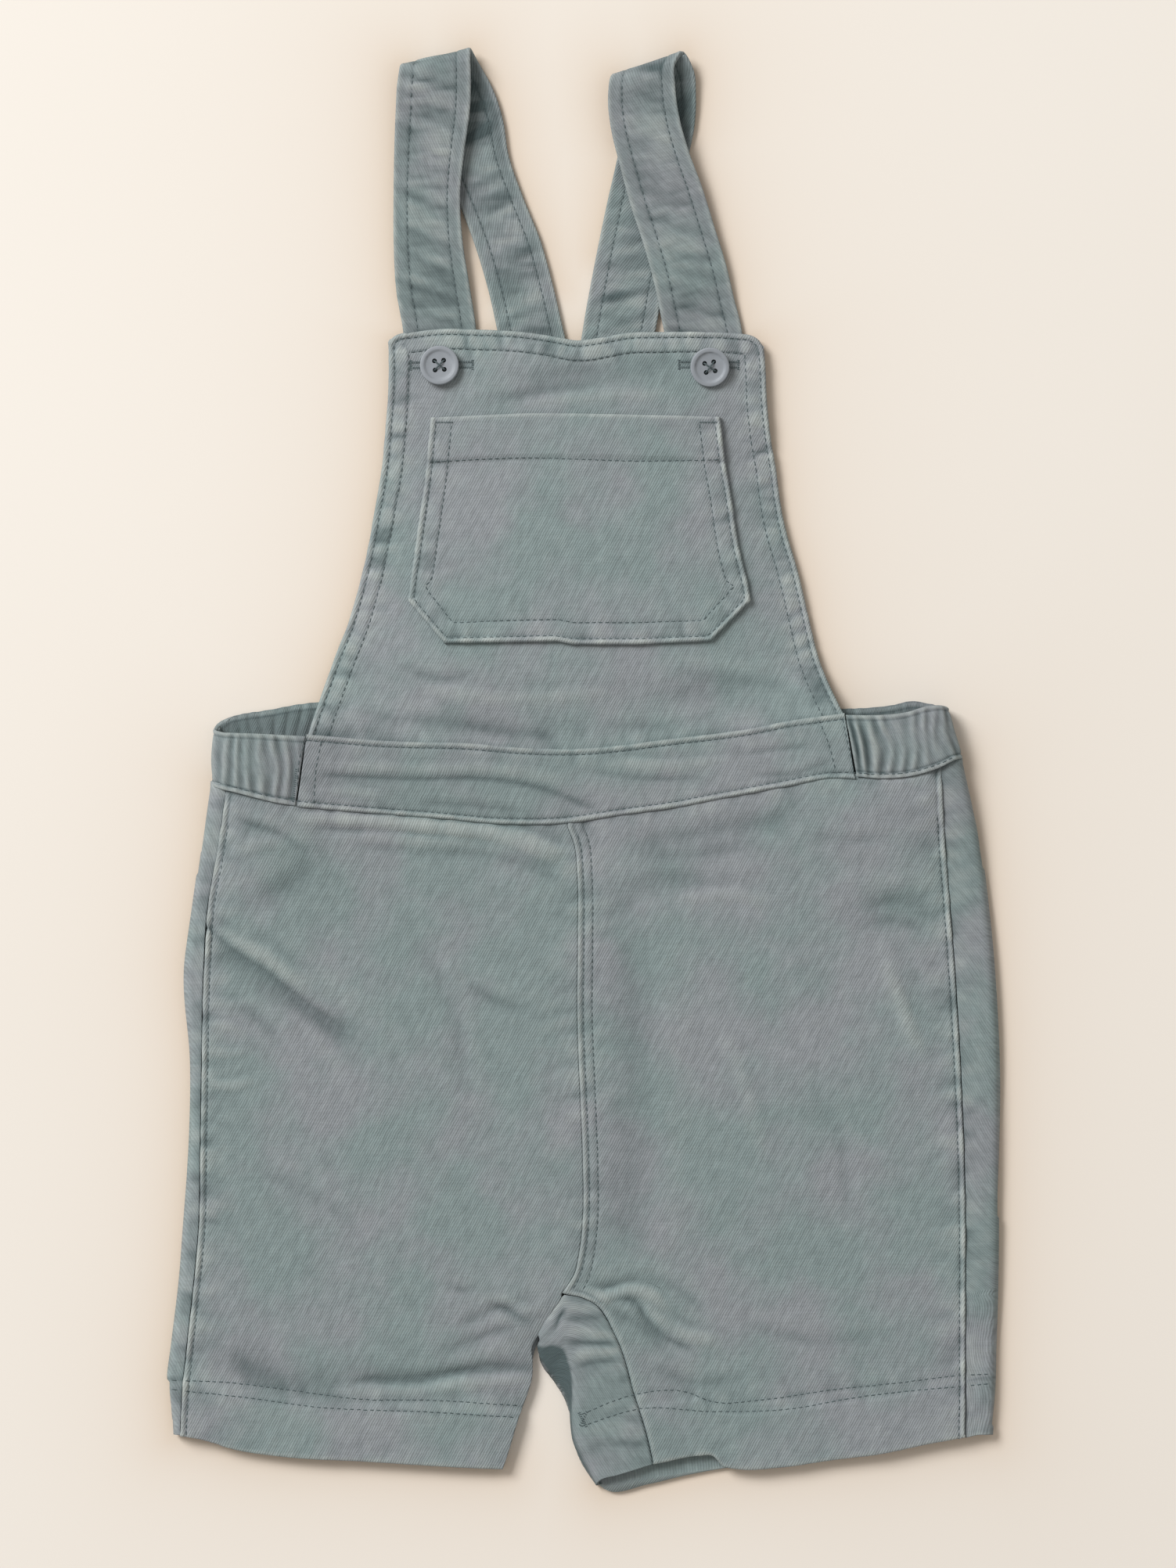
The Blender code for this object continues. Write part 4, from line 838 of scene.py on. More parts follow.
def make_front_leg(name, side_seam, inner_line, hem, is_left):
    down = spread(reach_along(inner_line)[-1], LEG_PITCH, (0.4, 1.0, 1.8, 3.0), HEM_STEPS)
    inner = along(inner_line, down, smooth=False)
    outer = beside(along(side_seam, down), 1 if is_left else -1, seam_shift)
    left, right = (outer, inner) if is_left else (inner, outer)
    left, right = beside(left, -1, 0.12), beside(right, 1, 0.12)
    near_centre = (0.2, 0.5, 0.9, 1.3, 1.65, 1.95, 2.3, 2.9, 3.8, 4.7, 5.2, 5.6, 6.0, 6.5, 7.4)
    steps = (RIM_STEPS, (0.4, 1.0, 1.9)) if is_left else (near_centre, RIM_STEPS)
    across = spread(LEG_WIDTH, LEG_PITCH, *steps)
    head = along(between(BAND_FOOT, left[0, 0], right[0, 0]), across)
    head[:, 1] += TUCK
    left[0], right[0] = head[0], head[-1]
    foot = along(smooth_line(hem), across, smooth=False)
    left[-1], right[-1] = foot[0], foot[-1]
    flat = stretch_between(left, right, head, foot, across, down)
    x, y = flat[:, :, 0], flat[:, :, 1]
    rise = leg_rise(x, y) + 1.3 * folds(x, y, SMALL_FOLDS) + drape(x, y)
    thick = np.where(y < foot[None, :, 1] + HEM_DEPTH, HEM_WALL, WALL)
    # Fold ridges are abraded lighter; fold troughs get painted shade.
    wear_and_shade = 0.62 * np.clip(folds(x, y, MAIN_FOLDS) + 1.7 * folds(x, y, SMALL_FOLDS), -1.2, 1.2)

    centre_line = smooth_line(CENTRE_SEAM)
    sides = (
        (outer, 0.30, 8.5, 9.0, 31),
        (beside(centre_line, 1 if is_left else -1, seam_shift), 0.16, 8.0, 11.0, 37),
        (np.array(HEM_SEWING[name][0]), 0.12, 7.0, 7.0, 41), (foot, 0.10, 9.0, 8.0, 43),
        (smooth_line(BAND_FOOT), 0.16, 9.0, 9.0, 47),
    )
    # Puckers along the seams, hems and band: lighter crests with painted shade between them.
    for line, size, pitch, reach, seed in sides:
        wave = puckers(x, y, line[::6] if len(line) > 60 else line, pitch, reach, seed)
        rise += 1.4 * size * wave
        wear_and_shade += 2.3 * size * wave
    side_away, side_place, _ = near_line(x, y, outer[::4])
    height, rubbed_and_shaded = piped_edge(side_away, side_place, 51)
    below = np.clip((value_at(BAND_FOOT, x) - y) / 1.0, 0.0, 1.0)
    thick += height * below
    wear_and_shade += rubbed_and_shaded * below
    centre_away, centre_place, _ = near_line(x, y, inner[::3] if not is_left else centre_line)
    if is_left:
        rise -= 0.25 * hump(centre_away, 1.6)
        # Painted shade along the centre seam, where the left leg meets the turned allowances.
        wear_and_shade -= 0.6 * hump(centre_away, 0.7)
    else:
        on_seam = y > -197.0
        height, rubbed_and_shaded = piped_edge(centre_away, centre_place, 53)
        felled, dark = stitched_line(centre_away - FELL_WIDTH)
        thick += np.where(on_seam, height + felled + 0.12 * (centre_away < FELL_WIDTH), 0.0)
        wear_and_shade += np.where(on_seam, rubbed_and_shaded + 0.55 * dark, 0.0)
        leg_away = np.where(on_seam, 9.0, centre_away)
        thick -= 0.3 * hump(leg_away, 0.8)
        # A light ridge and a line of painted shade along the right leg's free inner edge.
        wear_and_shade += 0.4 * hump(leg_away - 1.0, 0.9) - 0.7 * hump(leg_away, 0.5)
    hem_away = y - foot[None, :, 1]
    wear_and_shade += 0.65 * hump(hem_away - 0.5, 0.9) * (1.0 + 0.4 * wander(x / 4.0, y * 0, 59))
    thick -= 0.45 * hump(hem_away, 0.35)
    for line in HEM_SEWING[name]:
        sunk, dark = stitched_line(near_line(x, y, smooth_line(line, 4))[0])
        thick += sunk
        wear_and_shade += 0.8 * dark
    # Painted shade just below the foot of the band.
    wear_and_shade -= 0.35 * hump(value_at(BAND_FOOT, x) - y - 0.2, 1.0)
    if is_left:
        free = down > reach_along(centre_line)[-1] / reach_along(inner_line)[-1]
        ease = np.clip(1.0 - (LEG_WIDTH * (1.0 - across)) / 16.0, 0.0, 1.0) ** 2
        in_hem = np.clip((foot[-1, 1] + HEM_DEPTH - y[:, -1]) / 2.0, 0.0, 1.0)
        low = WALL + LAYER_GAP + (HEM_WALL - WALL) * in_hem
        fade = np.clip(np.cumsum(free) / 12.0, 0.0, 1.0)[:, None] * ease[None, :]
        rise = rise * (1 - fade) + low[:, None] * fade
    rise = np.maximum(rise, LEAST_RISE)
    net = np.dstack([flat, rise])
    return make_cloth(name + "_cloth", [(net, thick / SEWN_WALL, wear_and_shade, flat)], SEWN_WALL, 1)


centre_seam = beside(smooth_line(CENTRE_SEAM), 1, seam_shift)
left_inner_line = np.vstack([centre_seam, smooth_line(LEFT_INNER_LEG)[2:]])
right_inner_line = np.vstack([centre_seam, smooth_line(RIGHT_INSEAM)[2:]])
front_legs = {}
for name, side_seam, inner_line, hem, is_left in (
        ("front_leg_left", LEFT_SIDE_SEAM, left_inner_line, LEFT_HEM, True),
        ("front_leg_right", RIGHT_SIDE_SEAM, right_inner_line, RIGHT_HEM, False)):
    front_leg = make_front_leg(name, side_seam, inner_line, hem, is_left)
    dress(front_leg, name, leg_twill)
    front_legs[name] = front_leg

# Back waistband: a tube of twill round wide elastic, drawn in to close gathers. It runs from the left
# end of the front band round the back to the right end, and a bar tack holds the elastic at the left end.
BAND_WALL = 2.2
GATHER_PITCH = 4.5
GATHER_HEIGHT = 0.5
DEEP_GATHER = 1.0
BAND_PITCH = 0.62
BAND_HEIGHT = 26.0

# Columns x_head, y_head, x_foot, y_foot, z: outer face of the band, from its left end on the front,
# round the left side, across the back and round to its right end
ELASTIC = (
    (-102.9, 12.6, -106.6, -13.2, 9.0),
    (-111.0, 13.0, -113.0, -12.2, 9.8),
    (-120.0, 13.5, -121.0, -10.3, 10.3),
    (-128.5, 13.8, -129.0, -8.2, 10.0),
    (-134.2, 14.2, -134.8, -6.8, 8.5),
    (-137.0, 15.4, -137.9, -5.6, 5.6),
    (-136.0, 17.4, -136.8, -4.9, 2.3),
    (-132.4, 19.4, -132.8, -4.4, 0.4),
    (-127.0, 20.8, -127.0, -4.0, 0.0),
    (-117.7, 22.2, -117.7, -3.6, 0.0),
    (-106.0, 24.4, -106.0, -3.3, 0.0),
    (-60.0, 25.1, -60.0, -3.2, 0.0),
    (0.0, 25.1, 0.0, -3.2, 0.0),
    (60.0, 24.8, 60.0, -3.1, 0.0),
    (97.7, 22.8, 97.7, -2.9, 0.0),
    (107.9, 23.3, 108.0, -2.7, 0.0),
    (115.1, 24.2, 116.0, -2.3, 0.0),
    (121.5, 25.6, 123.5, -1.6, 0.0),
    (127.5, 24.8, 131.0, -0.5, 0.0),
    (131.9, 24.0, 136.4, 1.2, 0.5),
    (134.4, 23.6, 139.2, 2.9, 2.8),
    (134.9, 23.4, 140.1, 4.2, 5.8),
    (133.0, 23.9, 137.8, 3.9, 8.9),
    (127.5, 23.8, 131.0, 0.7, 10.4),
    (119.0, 21.4, 120.5, -2.3, 10.5),
    (109.6, 20.4, 111.0, -3.1, 9.9),
    (96.9, 20.5, 101.0, -2.4, 9.0),
)


def make_back_waistband():
    line = smooth_line(ELASTIC)
    middle = np.column_stack([0.5 * (line[:, 0] + line[:, 2]), line[:, 4]])
    reach = reach_along(middle)
    count = int(reach[-1] / BAND_PITCH)
    places = np.linspace(0.0, reach[-1], count)
    path = np.stack([np.interp(places, reach, line[:, axis]) for axis in range(5)], axis=1)
    run_x = np.gradient(0.5 * (path[:, 0] + path[:, 2]))
    run_z = np.gradient(path[:, 4])
    size = np.hypot(run_x, run_z)
    out_x, out_z = run_z / size, -run_x / size
    lifted = np.clip(path[:, 4] / 4.0, 0.0, 1.0)[None, :]
    strong = hump(reach[-1] - places - 5.0, 6.0)[None, :] + 0.5 * hump(places - 6.0, 9.0)[None, :]
    down = spread(BAND_HEIGHT, 1.0, RIM_STEPS[:8], (0.3, 0.8, 1.5, 2.2, 2.6, 3.0, 3.6))
    part = down[:, None]
    width = BAND_HEIGHT * part
    shift = 1.8 * wander(places[None, :] / 9.0, width / 14.0, 61) + 1.2 * (part - 0.5)
    wave = np.sin(2 * math.pi * (places[None, :] + shift) / GATHER_PITCH)
    wave = np.sign(wave) * np.abs(wave) ** 0.8 * (
        0.9 + 0.7 * wander(places[None, :] / 5.0, width / 12.0, 67))
    foot_away = BAND_HEIGHT - width
    held = np.clip(width / 4.5, 0.0, 1.0) * np.clip(foot_away / 4.5, 0.0, 1.0)
    tall = GATHER_HEIGHT + (DEEP_GATHER - GATHER_HEIGHT) * strong
    ends = np.clip(np.minimum(places, reach[-1] - places) / 2.0, 0.0, 1.0)[None, :]
    height = wave * lifted * tall * ends * (0.18 + 0.82 * held)
    bulge = 0.25 * np.sin(math.pi * part) * lifted
    rim, rubbed_and_shaded = piped_edge(width, places[None, :] + 0 * width, 71)
    foot_rim = hump(foot_away - 0.8, 0.8)
    foot_sunk = hump(foot_away - 2.4, 0.45)
    out = height + bulge + 0.7 * rim + 0.25 * foot_rim - 0.25 * foot_sunk
    out *= np.clip(path[:, 4] / 1.5, 0.0, 1.0)[None, :]
    net = np.dstack([
        path[:, 0] + part * (path[:, 2] - path[:, 0]) + out_x * out,
        path[:, 1] + part * (path[:, 3] - path[:, 1]),
        np.maximum(path[:, 4] + out_z * out, 0.0),
    ])
    resting = np.clip(1.0 - path[:, 4] / 0.5, 0.0, 1.0)[None, :]
    net[:, :, 2] += resting * held * 0.32 * np.clip(0.5 - 0.5 * wave, 0.0, 1.0)
    share = 1.0 - 0.12 * resting * (1.0 + 0.6 * wave)
    # Gathers abraded lighter on their crests with painted shade in their hollows; the part resting on the
    # floor gets painted shade.
    wear_and_shade = 0.85 * wave * (0.25 + 0.75 * held) * np.clip(tall, 0, 1) * lifted + rubbed_and_shaded - 0.6 * resting
    # A lighter rim at the foot, and painted shade in the sunk line inside it.
    wear_and_shade += 0.8 * foot_rim - 0.9 * foot_sunk
    # Painted shade inside the band's two open ends.
    mouth = hump(places - 1.5, 1.6) + hump(reach[-1] - places - 1.5, 1.6)
    wear_and_shade -= 0.5 * mouth[None, :]
    cut = np.dstack([np.tile(places * 1.5, (len(down), 1)), np.tile(BAND_HEIGHT * (1 - part), (1, count))])
    return make_cloth("back_waistband_cloth", [(net, share, wear_and_shade, cut)], BAND_WALL, -1, offset=-1.0)


band_twill = twill_material("band_twill", 0.97)
back_waistband = make_back_waistband()
dress(back_waistband, "back_waistband", band_twill)

# Front waistband: a plain doubled strip between the legs and the bib, edged above and below by a
# raised seam, and sewn down over the ends of the elastic.
FRONT_BAND_WALL = 2.0
FRONT_BAND_LENGTH = 203.0
BAND_HEAD = (
    (-102.6, 12.4), (-71.3, 9.9), (-42.3, 9.1), (-24.9, 7.6), (-1.7, 7.1), (9.9, 8.0), (33.1, 10.9),
    (62.1, 14.6), (73.7, 17.0), (96.5, 20.3),
)
BAND_ENDS = (
    ((-102.4, 11.7), (-104.7, 5.7), (-105.8, -4.5), (-106.1, -12.0)),
    ((-96.9, 10.9), (-98.9, 1.3), (-99.8, -12.6)),
    ((86.7, 19.3), (90.5, 10.0), (93.7, -2.2)),
    ((95.7, 19.3), (98.6, 5.7), (100.0, -1.0)),
)


# Columns width, height, points: small folds of the front band
BAND_FOLDS = (
    (1.5, -0.6, ((-97, -1.6), (-65, -3.3), (-34, -3.3), (-13, -7.4), (4, -14.6))),
    (1.8, 0.4, ((-90, 1.5), (-60, 0.5), (-30, 0.2), (-8, -3.5))),
    (1.6, -0.4, ((0, 0), (22, -3), (44, -3))), (1.6, 0.4, ((10, 3), (36, 2), (60, 6))),
    (1.6, -0.4, ((46, 4), (66, 7), (84, 9))), (1.4, -0.4, ((64, -2), (80, -1), (90, 3))),
    (1.4, 0.35, ((-98, -8), (-86, -8), (-72, -10))), (1.4, -0.35, ((-60, -12), (-40, -13), (-22, -15))),
)


def make_front_waistband():
    end_steps = (0.3, 0.8, 1.5, 2.4)
    across = spread(FRONT_BAND_LENGTH, 1.3, end_steps, end_steps)
    down = spread(BAND_HEIGHT, 1.2, RIM_STEPS, RIM_STEPS)
    head = along(BAND_HEAD, across)
    foot = along(between(BAND_FOOT, -106.2, 100.6), across)
    head[:, 1] += 0.4 * PIPING
    foot[:, 1] -= 0.2
    left = head[0] + down[:, None] * (foot[0] - head[0])
    right = head[-1] + down[:, None] * (foot[-1] - head[-1])
    flat = stretch_between(left, right, head, foot, across, down)
    x, y = flat[:, :, 0], flat[:, :, 1]
    rise = value_at(WAIST_RISE, x) + folds(x, y, MAIN_FOLDS) + 0.8 * drape(x, y) + 0.3
    thick = np.full(x.shape, FRONT_BAND_WALL)
    small = folds(x, y, BAND_FOLDS)
    rise += small
    # Fold ridges abraded lighter and fold troughs with painted shade; the puckers below likewise.
    wear_and_shade = 0.7 * np.clip(folds(x, y, MAIN_FOLDS) * 1.2 + 1.5 * small, -1.2, 1.2)
    for line, seed in ((head, 73), (foot, 79)):
        away, place, _ = near_line(x, y, line[::5])
        height, rubbed_and_shaded = piped_edge(away, place, seed)
        thick += height
        wear_and_shade += rubbed_and_shaded
        wave = puckers(x, y, line[::5], 7.0, 6.0, seed + 1)
        rise += 0.2 * wave
        wear_and_shade += 0.45 * wave
    for line in BAND_ENDS:
        sunk, dark = stitched_line(near_line(x, y, smooth_line(line, 4))[0])
        thick += sunk
        wear_and_shade += 0.8 * dark
    rise = np.maximum(rise, BAND_WALL + LAYER_GAP)
    nets = [(np.dstack([flat, rise]), thick / SEWN_WALL, wear_and_shade, flat)]
    return make_cloth("front_waistband_cloth", nets, SEWN_WALL, 1)


front_waistband = make_front_waistband()
dress(front_waistband, "front_waistband", band_twill)

# Shoulder straps: folded strips of twill, closed with a row of stitches along each side. They are
# sewn into the back waistband, cross on the back, fold over at the shoulder and button to the bib.
STRAP_WALL = 1.8
STRAP_PITCH = 0.9
STRAP_WIDTH = 26.0
STRAP_ROWS = (5.3, 5.1)
STRAP_STEPS = (0.2, 0.5, 0.9, 1.3, 1.9, 2.8, 3.8, 4.6, 5.1, 5.6, 6.4)

# Columns x_left, y_left, z_left, x_right, y_right, z_right: middle of each strap's cloth, from the
# button end under the bib, over the fold at the shoulder and down the back to the waistband
STRAP_LEFT = (
    (-66.4, 134.6, 0.9, -39.7, 134.6, 0.9),
    (-66.4, 150.7, 0.9, -39.7, 151.2, 0.9),
    (-67.0, 162.5, 1.0, -40.0, 163.7, 1.0),
    (-69.6, 178.2, 2.0, -42.3, 179.4, 2.2),
    (-70.5, 195.6, 3.0, -44.9, 196.2, 3.2),
    (-70.5, 213.0, 3.6, -45.8, 213.0, 4.0),
    (-70.2, 230.4, 4.4, -44.1, 230.4, 4.8),
    (-69.6, 244.9, 5.6, -42.0, 246.4, 6.0),
    (-69.0, 254.3, 6.7, -41.8, 258.0, 7.2),
    (-68.1, 259.6, 6.3, -42.0, 265.0, 6.8),
    (-67.6, 261.1, 4.2, -41.8, 267.2, 4.4),
    (-66.1, 259.0, 1.9, -39.4, 263.4, 2.2),
    (-62.6, 250.7, 1.1, -33.6, 252.7, 1.2),
    (-57.4, 239.1, 0.9, -29.9, 241.1, 0.9),
    (-53.4, 227.5, 0.9, -28.0, 229.0, 0.9),
    (-46.7, 211.6, 0.9, -22.6, 213.0, 0.9),
    (-40.6, 195.6, 0.9, -16.2, 197.1, 0.9),
    (-35.4, 178.2, 0.9, -11.3, 179.7, 0.9),
    (-31.9, 162.5, 0.9, -7.6, 163.7, 0.9),
    (-23.8, 122.0, 0.9, 2.2, 125.5, 0.9),
    (-14.4, 80.0, 0.9, 11.4, 84.0, 0.9),
    (-5.0, 40.0, 0.9, 20.5, 42.0, 0.9),
    (-1.8, 25.6, 0.9, 23.9, 25.6, 0.9),
)
STRAP_RIGHT = (
    (36.8, 134.6, 0.9, 62.8, 137.6, 0.9),
    (33.9, 146.6, 0.9, 60.0, 152.6, 0.9),
    (30.4, 160.8, 1.0, 58.3, 166.0, 0.9),
    (28.6, 169.0, 2.3, 55.9, 175.0, 1.4),
    (26.7, 178.2, 3.1, 53.4, 185.5, 2.2),
    (22.0, 195.6, 3.6, 48.1, 202.9, 3.2),
    (17.4, 209.5, 4.1, 43.8, 216.5, 4.2),
    (13.3, 224.6, 4.9, 39.1, 229.0, 5.1),
    (10.1, 237.7, 5.9, 35.4, 242.0, 6.1),
    (9.0, 247.8, 6.9, 33.9, 253.0, 7.2),
    (9.6, 254.9, 7.1, 34.0, 261.9, 7.6),
    (10.7, 257.1, 4.8, 37.0, 266.0, 5.2),
    (12.5, 255.0, 2.4, 40.6, 260.4, 3.0),
    (14.8, 247.8, 1.3, 41.7, 250.1, 1.6),
    (14.5, 237.7, 1.0, 41.2, 239.7, 1.1),
    (12.2, 226.1, 0.9, 38.9, 228.0, 0.9),
    (9.0, 212.1, 0.9, 35.1, 208.9, 0.9),
    (4.9, 192.4, 0.9, 31.0, 188.2, 0.9),
    (0.3, 167.8, 0.9, 26.7, 163.5, 0.9),
    (-1.4, 157.5, 2.1, 24.6, 153.0, 0.9),
    (-3.2, 149.5, 3.4, 22.8, 145.0, 0.9),
    (-5.4, 140.5, 3.5, 20.6, 135.5, 1.5),
    (-8.6, 127.5, 3.3, 17.4, 122.5, 2.9),
    (-12.9, 110.0, 3.1, 13.1, 104.5, 3.1),
    (-19.2, 84.0, 3.1, 6.7, 78.5, 3.1),
    (-25.8, 57.0, 3.0, 0.2, 51.5, 3.2),
    (-28.3, 46.5, 1.9, -2.3, 41.5, 3.5),
    (-30.0, 39.5, 1.0, -4.1, 35.0, 3.3),
    (-31.6, 32.5, 0.9, -5.6, 29.8, 1.7),
    (-33.0, 25.6, 0.9, -7.2, 25.6, 0.9),
)


strap_across = spread(STRAP_WIDTH, 1.0, STRAP_STEPS, STRAP_STEPS)


def make_strap(name, table, seed):
    """The strap's cloth, its net of points, its outward directions and its length."""
    line = smooth_line(table)
    middle = 0.5 * (line[:, :3] + line[:, 3:])
    length = reach_along(middle)[-1]
    rows = along(table, even(int(length / STRAP_PITCH)))
    places = length * even(len(rows))[None, :]
    part = strap_across[:, None, None]
    net = (1 - part) * rows[None, :, :3] + part * rows[None, :, 3:]
    width = STRAP_WIDTH * strap_across[:, None]
    from_edge = np.minimum(width, STRAP_WIDTH - width)
    wave = wander(places / 3.4 + 0.12 * width, width / 17.0, seed)
    wave += 0.5 * wander(places / 1.9, width / 9.0 + 3.0, seed + 1)
    inside = np.clip((from_edge - 3.2) / 2.5, 0.0, 1.0)
    strength = 0.85 + 0.4 * wander(places / 31.0, width / STRAP_WIDTH, seed + 2)
    lift = 0.42 * wave * (0.3 + 0.7 * inside) * strength
    fold = places[0, np.argmax(rows[:, 1])]
    run = np.gradient(0.5 * (rows[:, :3] + rows[:, 3:]), axis=0)
    side = rows[:, 3:] - rows[:, :3]
    out = np.cross(side, run)
    out /= np.linalg.norm(out, axis=1)[:, None]
    out *= -1.0 if out[len(rows) // 6, 2] < 0 else 1.0
    net = net + lift[:, :, None] * out[None, :, :]
    net[:, :, 2] = np.maximum(net[:, :, 2], 0.5 * STRAP_WALL)
    thick = np.full(lift.shape, STRAP_WALL)
    rim = hump(from_edge - 0.6, 0.8)
    sunk = hump(width - STRAP_ROWS[0], 0.45) + hump(STRAP_WIDTH - width - STRAP_ROWS[1], 0.45)
    thick = thick + 0.22 * rim - 0.4 * sunk - 0.5 * hump(from_edge, 0.3)
    # Lighter, abraded edge rims, painted shade in the sunk rows of stitches, and puckers lighter on crests
    # with painted shade between.
    wear_and_shade = 0.75 * rim * (1.0 + 0.4 * wander(places / 3.0, width * 0, seed + 3)) - 0.5 * sunk
    wear_and_shade = wear_and_shade + 0.95 * wave * (0.25 + 0.75 * inside) * strength - 0.12
    # Painted shade on the strap just past the shoulder fold, where it turns down the back.
    wear_and_shade = wear_and_shade - 0.75 * hump(places - fold - 24.0, 20.0)
    cut = np.dstack([np.broadcast_to(width, lift.shape), np.broadcast_to(-places, lift.shape)])
    strap = make_cloth(name + "_cloth", [(net, thick / 2.2, wear_and_shade, cut)], 2.2, 1, offset=0.0)
    return strap, net, out, length


strap_twill = twill_material("strap_twill", 0.95)
straps = {}
for name, table, seed in (("strap_left", STRAP_LEFT, 83), ("strap_right", STRAP_RIGHT, 89)):
    straps[name] = make_strap(name, table, seed)
    dress(straps[name][0], name, strap_twill)

# Bib: one panel that narrows from the waistband to a straight top. Its edges are turned in and sewn
# twice, and it lies on the strap ends and on the straps' crossing.
BIB_FADE = 15.0
EDGE_WALL = 1.9
BIB_PITCH = 1.2
BIB_SIZE = (140.0, 150.0)
BIB_ROWS = (1.95, 7.3)
BIB_LEFT = (
    (-102.4, 12.4), (-96.3, 30.3), (-92.2, 41.9), (-87.6, 53.5), (-84.1, 65.1), (-81.2, 76.7),
    (-78.9, 88.3),
    (-76.8, 99.9), (-74.8, 111.5), (-73.7, 123.1), (-72.6, 137.0), (-72.2, 148.0), (-72.4, 159.0),
)
BIB_RIGHT = (
    (96.4, 20.3), (91.6, 30.3), (87.0, 41.9), (84.1, 53.5), (81.5, 65.1), (78.6, 76.7), (75.1, 88.3),
    (72.8, 99.9), (71.3, 111.5), (69.3, 123.1), (67.8, 137.0), (67.4, 147.0), (66.8, 157.0),
)
BIB_HEAD = (
    (-72.4, 159.0), (-69.9, 161.2), (-62.6, 162.5), (-53.1, 163.5), (-38.9, 163.2), (-24.4, 162.5),
    (-11.9, 160.8), (-2.6, 159.1), (6.4, 160.1), (14.2, 161.7), (28.7, 162.3), (47.8, 162.3),
    (57.4, 161.9), (63.6, 160.6), (66.8, 157.0),
)

# Columns y, middle, edge: underside of the bib above the floor
BIB_RISE = (
    (7.0, 2.8, 1.0), (22.0, 3.3, 1.0), (34.0, 4.7, 1.0), (46.0, 4.8, 0.8), (60.0, 4.6, 0.7),
    (115.0, 4.6, 1.0), (130.0, 4.8, 2.0), (141.0, 4.9, 2.2), (149.0, 4.8, 2.2), (156.0, 4.1, 2.1),
    (164.0, 3.2, 2.1),
)
BUTTONHOLES = ((-52.6, 150.2, 23.0), (46.4, 150.3, 22.0))


def bib_rise(x, y):
    """Underside of the bib: it lies on the straps, low at its side edges."""
    left = value_at([(b, a) for a, b in BIB_LEFT], y)
    right = value_at([(b, a) for a, b in BIB_RIGHT], y)
    side = np.clip(np.abs(2 * (x - left) / (right - left) - 1), 0.0, 1.0)
    middle = value_at(BIB_RISE, y, 1)
    edge = value_at(BIB_RISE, y, 2)
    lying = edge + (middle - edge) * (1 - side**2.5)
    fade = hump(np.maximum(y - value_at(BAND_HEAD, x), 0.0), BIB_FADE)
    return lying + (value_at(WAIST_RISE, x) - lying) * fade + folds(x, y, MAIN_FOLDS)


def bib_relief(x, y):
    """The bib's underside with its small folds, on which the pocket lies too."""
    return bib_rise(x, y) + folds(x, y, SMALL_FOLDS) + 0.8 * drape(x, y, 7)


bib_outline = np.vstack([
    smooth_line(BIB_LEFT)[:-1], smooth_line(BIB_HEAD)[:-1], smooth_line(BIB_RIGHT[::-1])])


def make_bib():
    steps = (0.2, 0.5, 0.9, 1.3, 1.65, 1.95, 2.3, 2.9, 4.0, 5.2, 6.3, 6.9, 7.3, 7.7, 8.3, 9.4)
    across = spread(BIB_SIZE[0], BIB_PITCH, steps, steps)
    down = spread(BIB_SIZE[1], BIB_PITCH, steps, (0.5, 1.2))
    left = along(BIB_LEFT[::-1], down)
    right = along(BIB_RIGHT[::-1], down)
    head = along(BIB_HEAD, across)
    foot = along(between(BAND_HEAD, -102.4, 96.4), across)
    foot[:, 1] -= TUCK
    left[-1], right[-1] = foot[0], foot[-1]
    flat = stretch_between(left, right, head, foot, across, down)
    x, y = flat[:, :, 0], flat[:, :, 1]
    rise = bib_relief(x, y)
    away, place, _ = near_line(x, y, bib_outline[::3])
    thick = np.where(away < BIB_ROWS[1], EDGE_WALL, WALL + 0.05)
    # Fold ridges abraded lighter and fold troughs with painted shade; the puckers below likewise.
    wear_and_shade = 0.65 * np.clip(folds(x, y, MAIN_FOLDS) + 1.8 * folds(x, y, SMALL_FOLDS), -1.2, 1.2)
    height, rubbed_and_shaded = piped_edge(away, place, 91)
    sunk, dark = stitched_line(away - BIB_ROWS[1])
    thick += height + sunk
    wear_and_shade += rubbed_and_shaded + dark
    middle = beside(bib_outline, 1, 0.5 * sum(BIB_ROWS))
    wave = puckers(x, y, middle[::3], 6.5, 6.0, 93)
    rise += 0.32 * wave
    wear_and_shade += 0.8 * wave
    wave = puckers(x, y, smooth_line(BAND_HEAD), 8.0, 8.0, 97)
    rise += 0.18 * wave
    # Painted shade on the bib just above the band's upper edge.
    wear_and_shade += 0.35 * wave - 0.3 * hump(y - value_at(BAND_HEAD, x) - 1.2, 1.0)
    for hole_x, hole_y, hole_length in BUTTONHOLES:
        along_hole = np.clip((0.5 * hole_length + 1.0 - np.abs(x - hole_x)) / 1.5, 0.0, 1.0)
        rise -= 0.35 * along_hole * hump(y - hole_y, 1.0)
        # Painted shade in each buttonhole's slit.
        wear_and_shade -= 0.5 * along_hole * hump(y - hole_y, 1.8)
    rise = np.maximum(rise, 0.35)
    nets = [(np.dstack([flat, rise]), thick / SEWN_WALL, wear_and_shade, flat)]
    return make_cloth("bib_cloth", nets, SEWN_WALL, 1)


bib_twill = twill_material("bib_twill", 1.03)
bib = make_bib()
dress(bib, "bib", bib_twill)

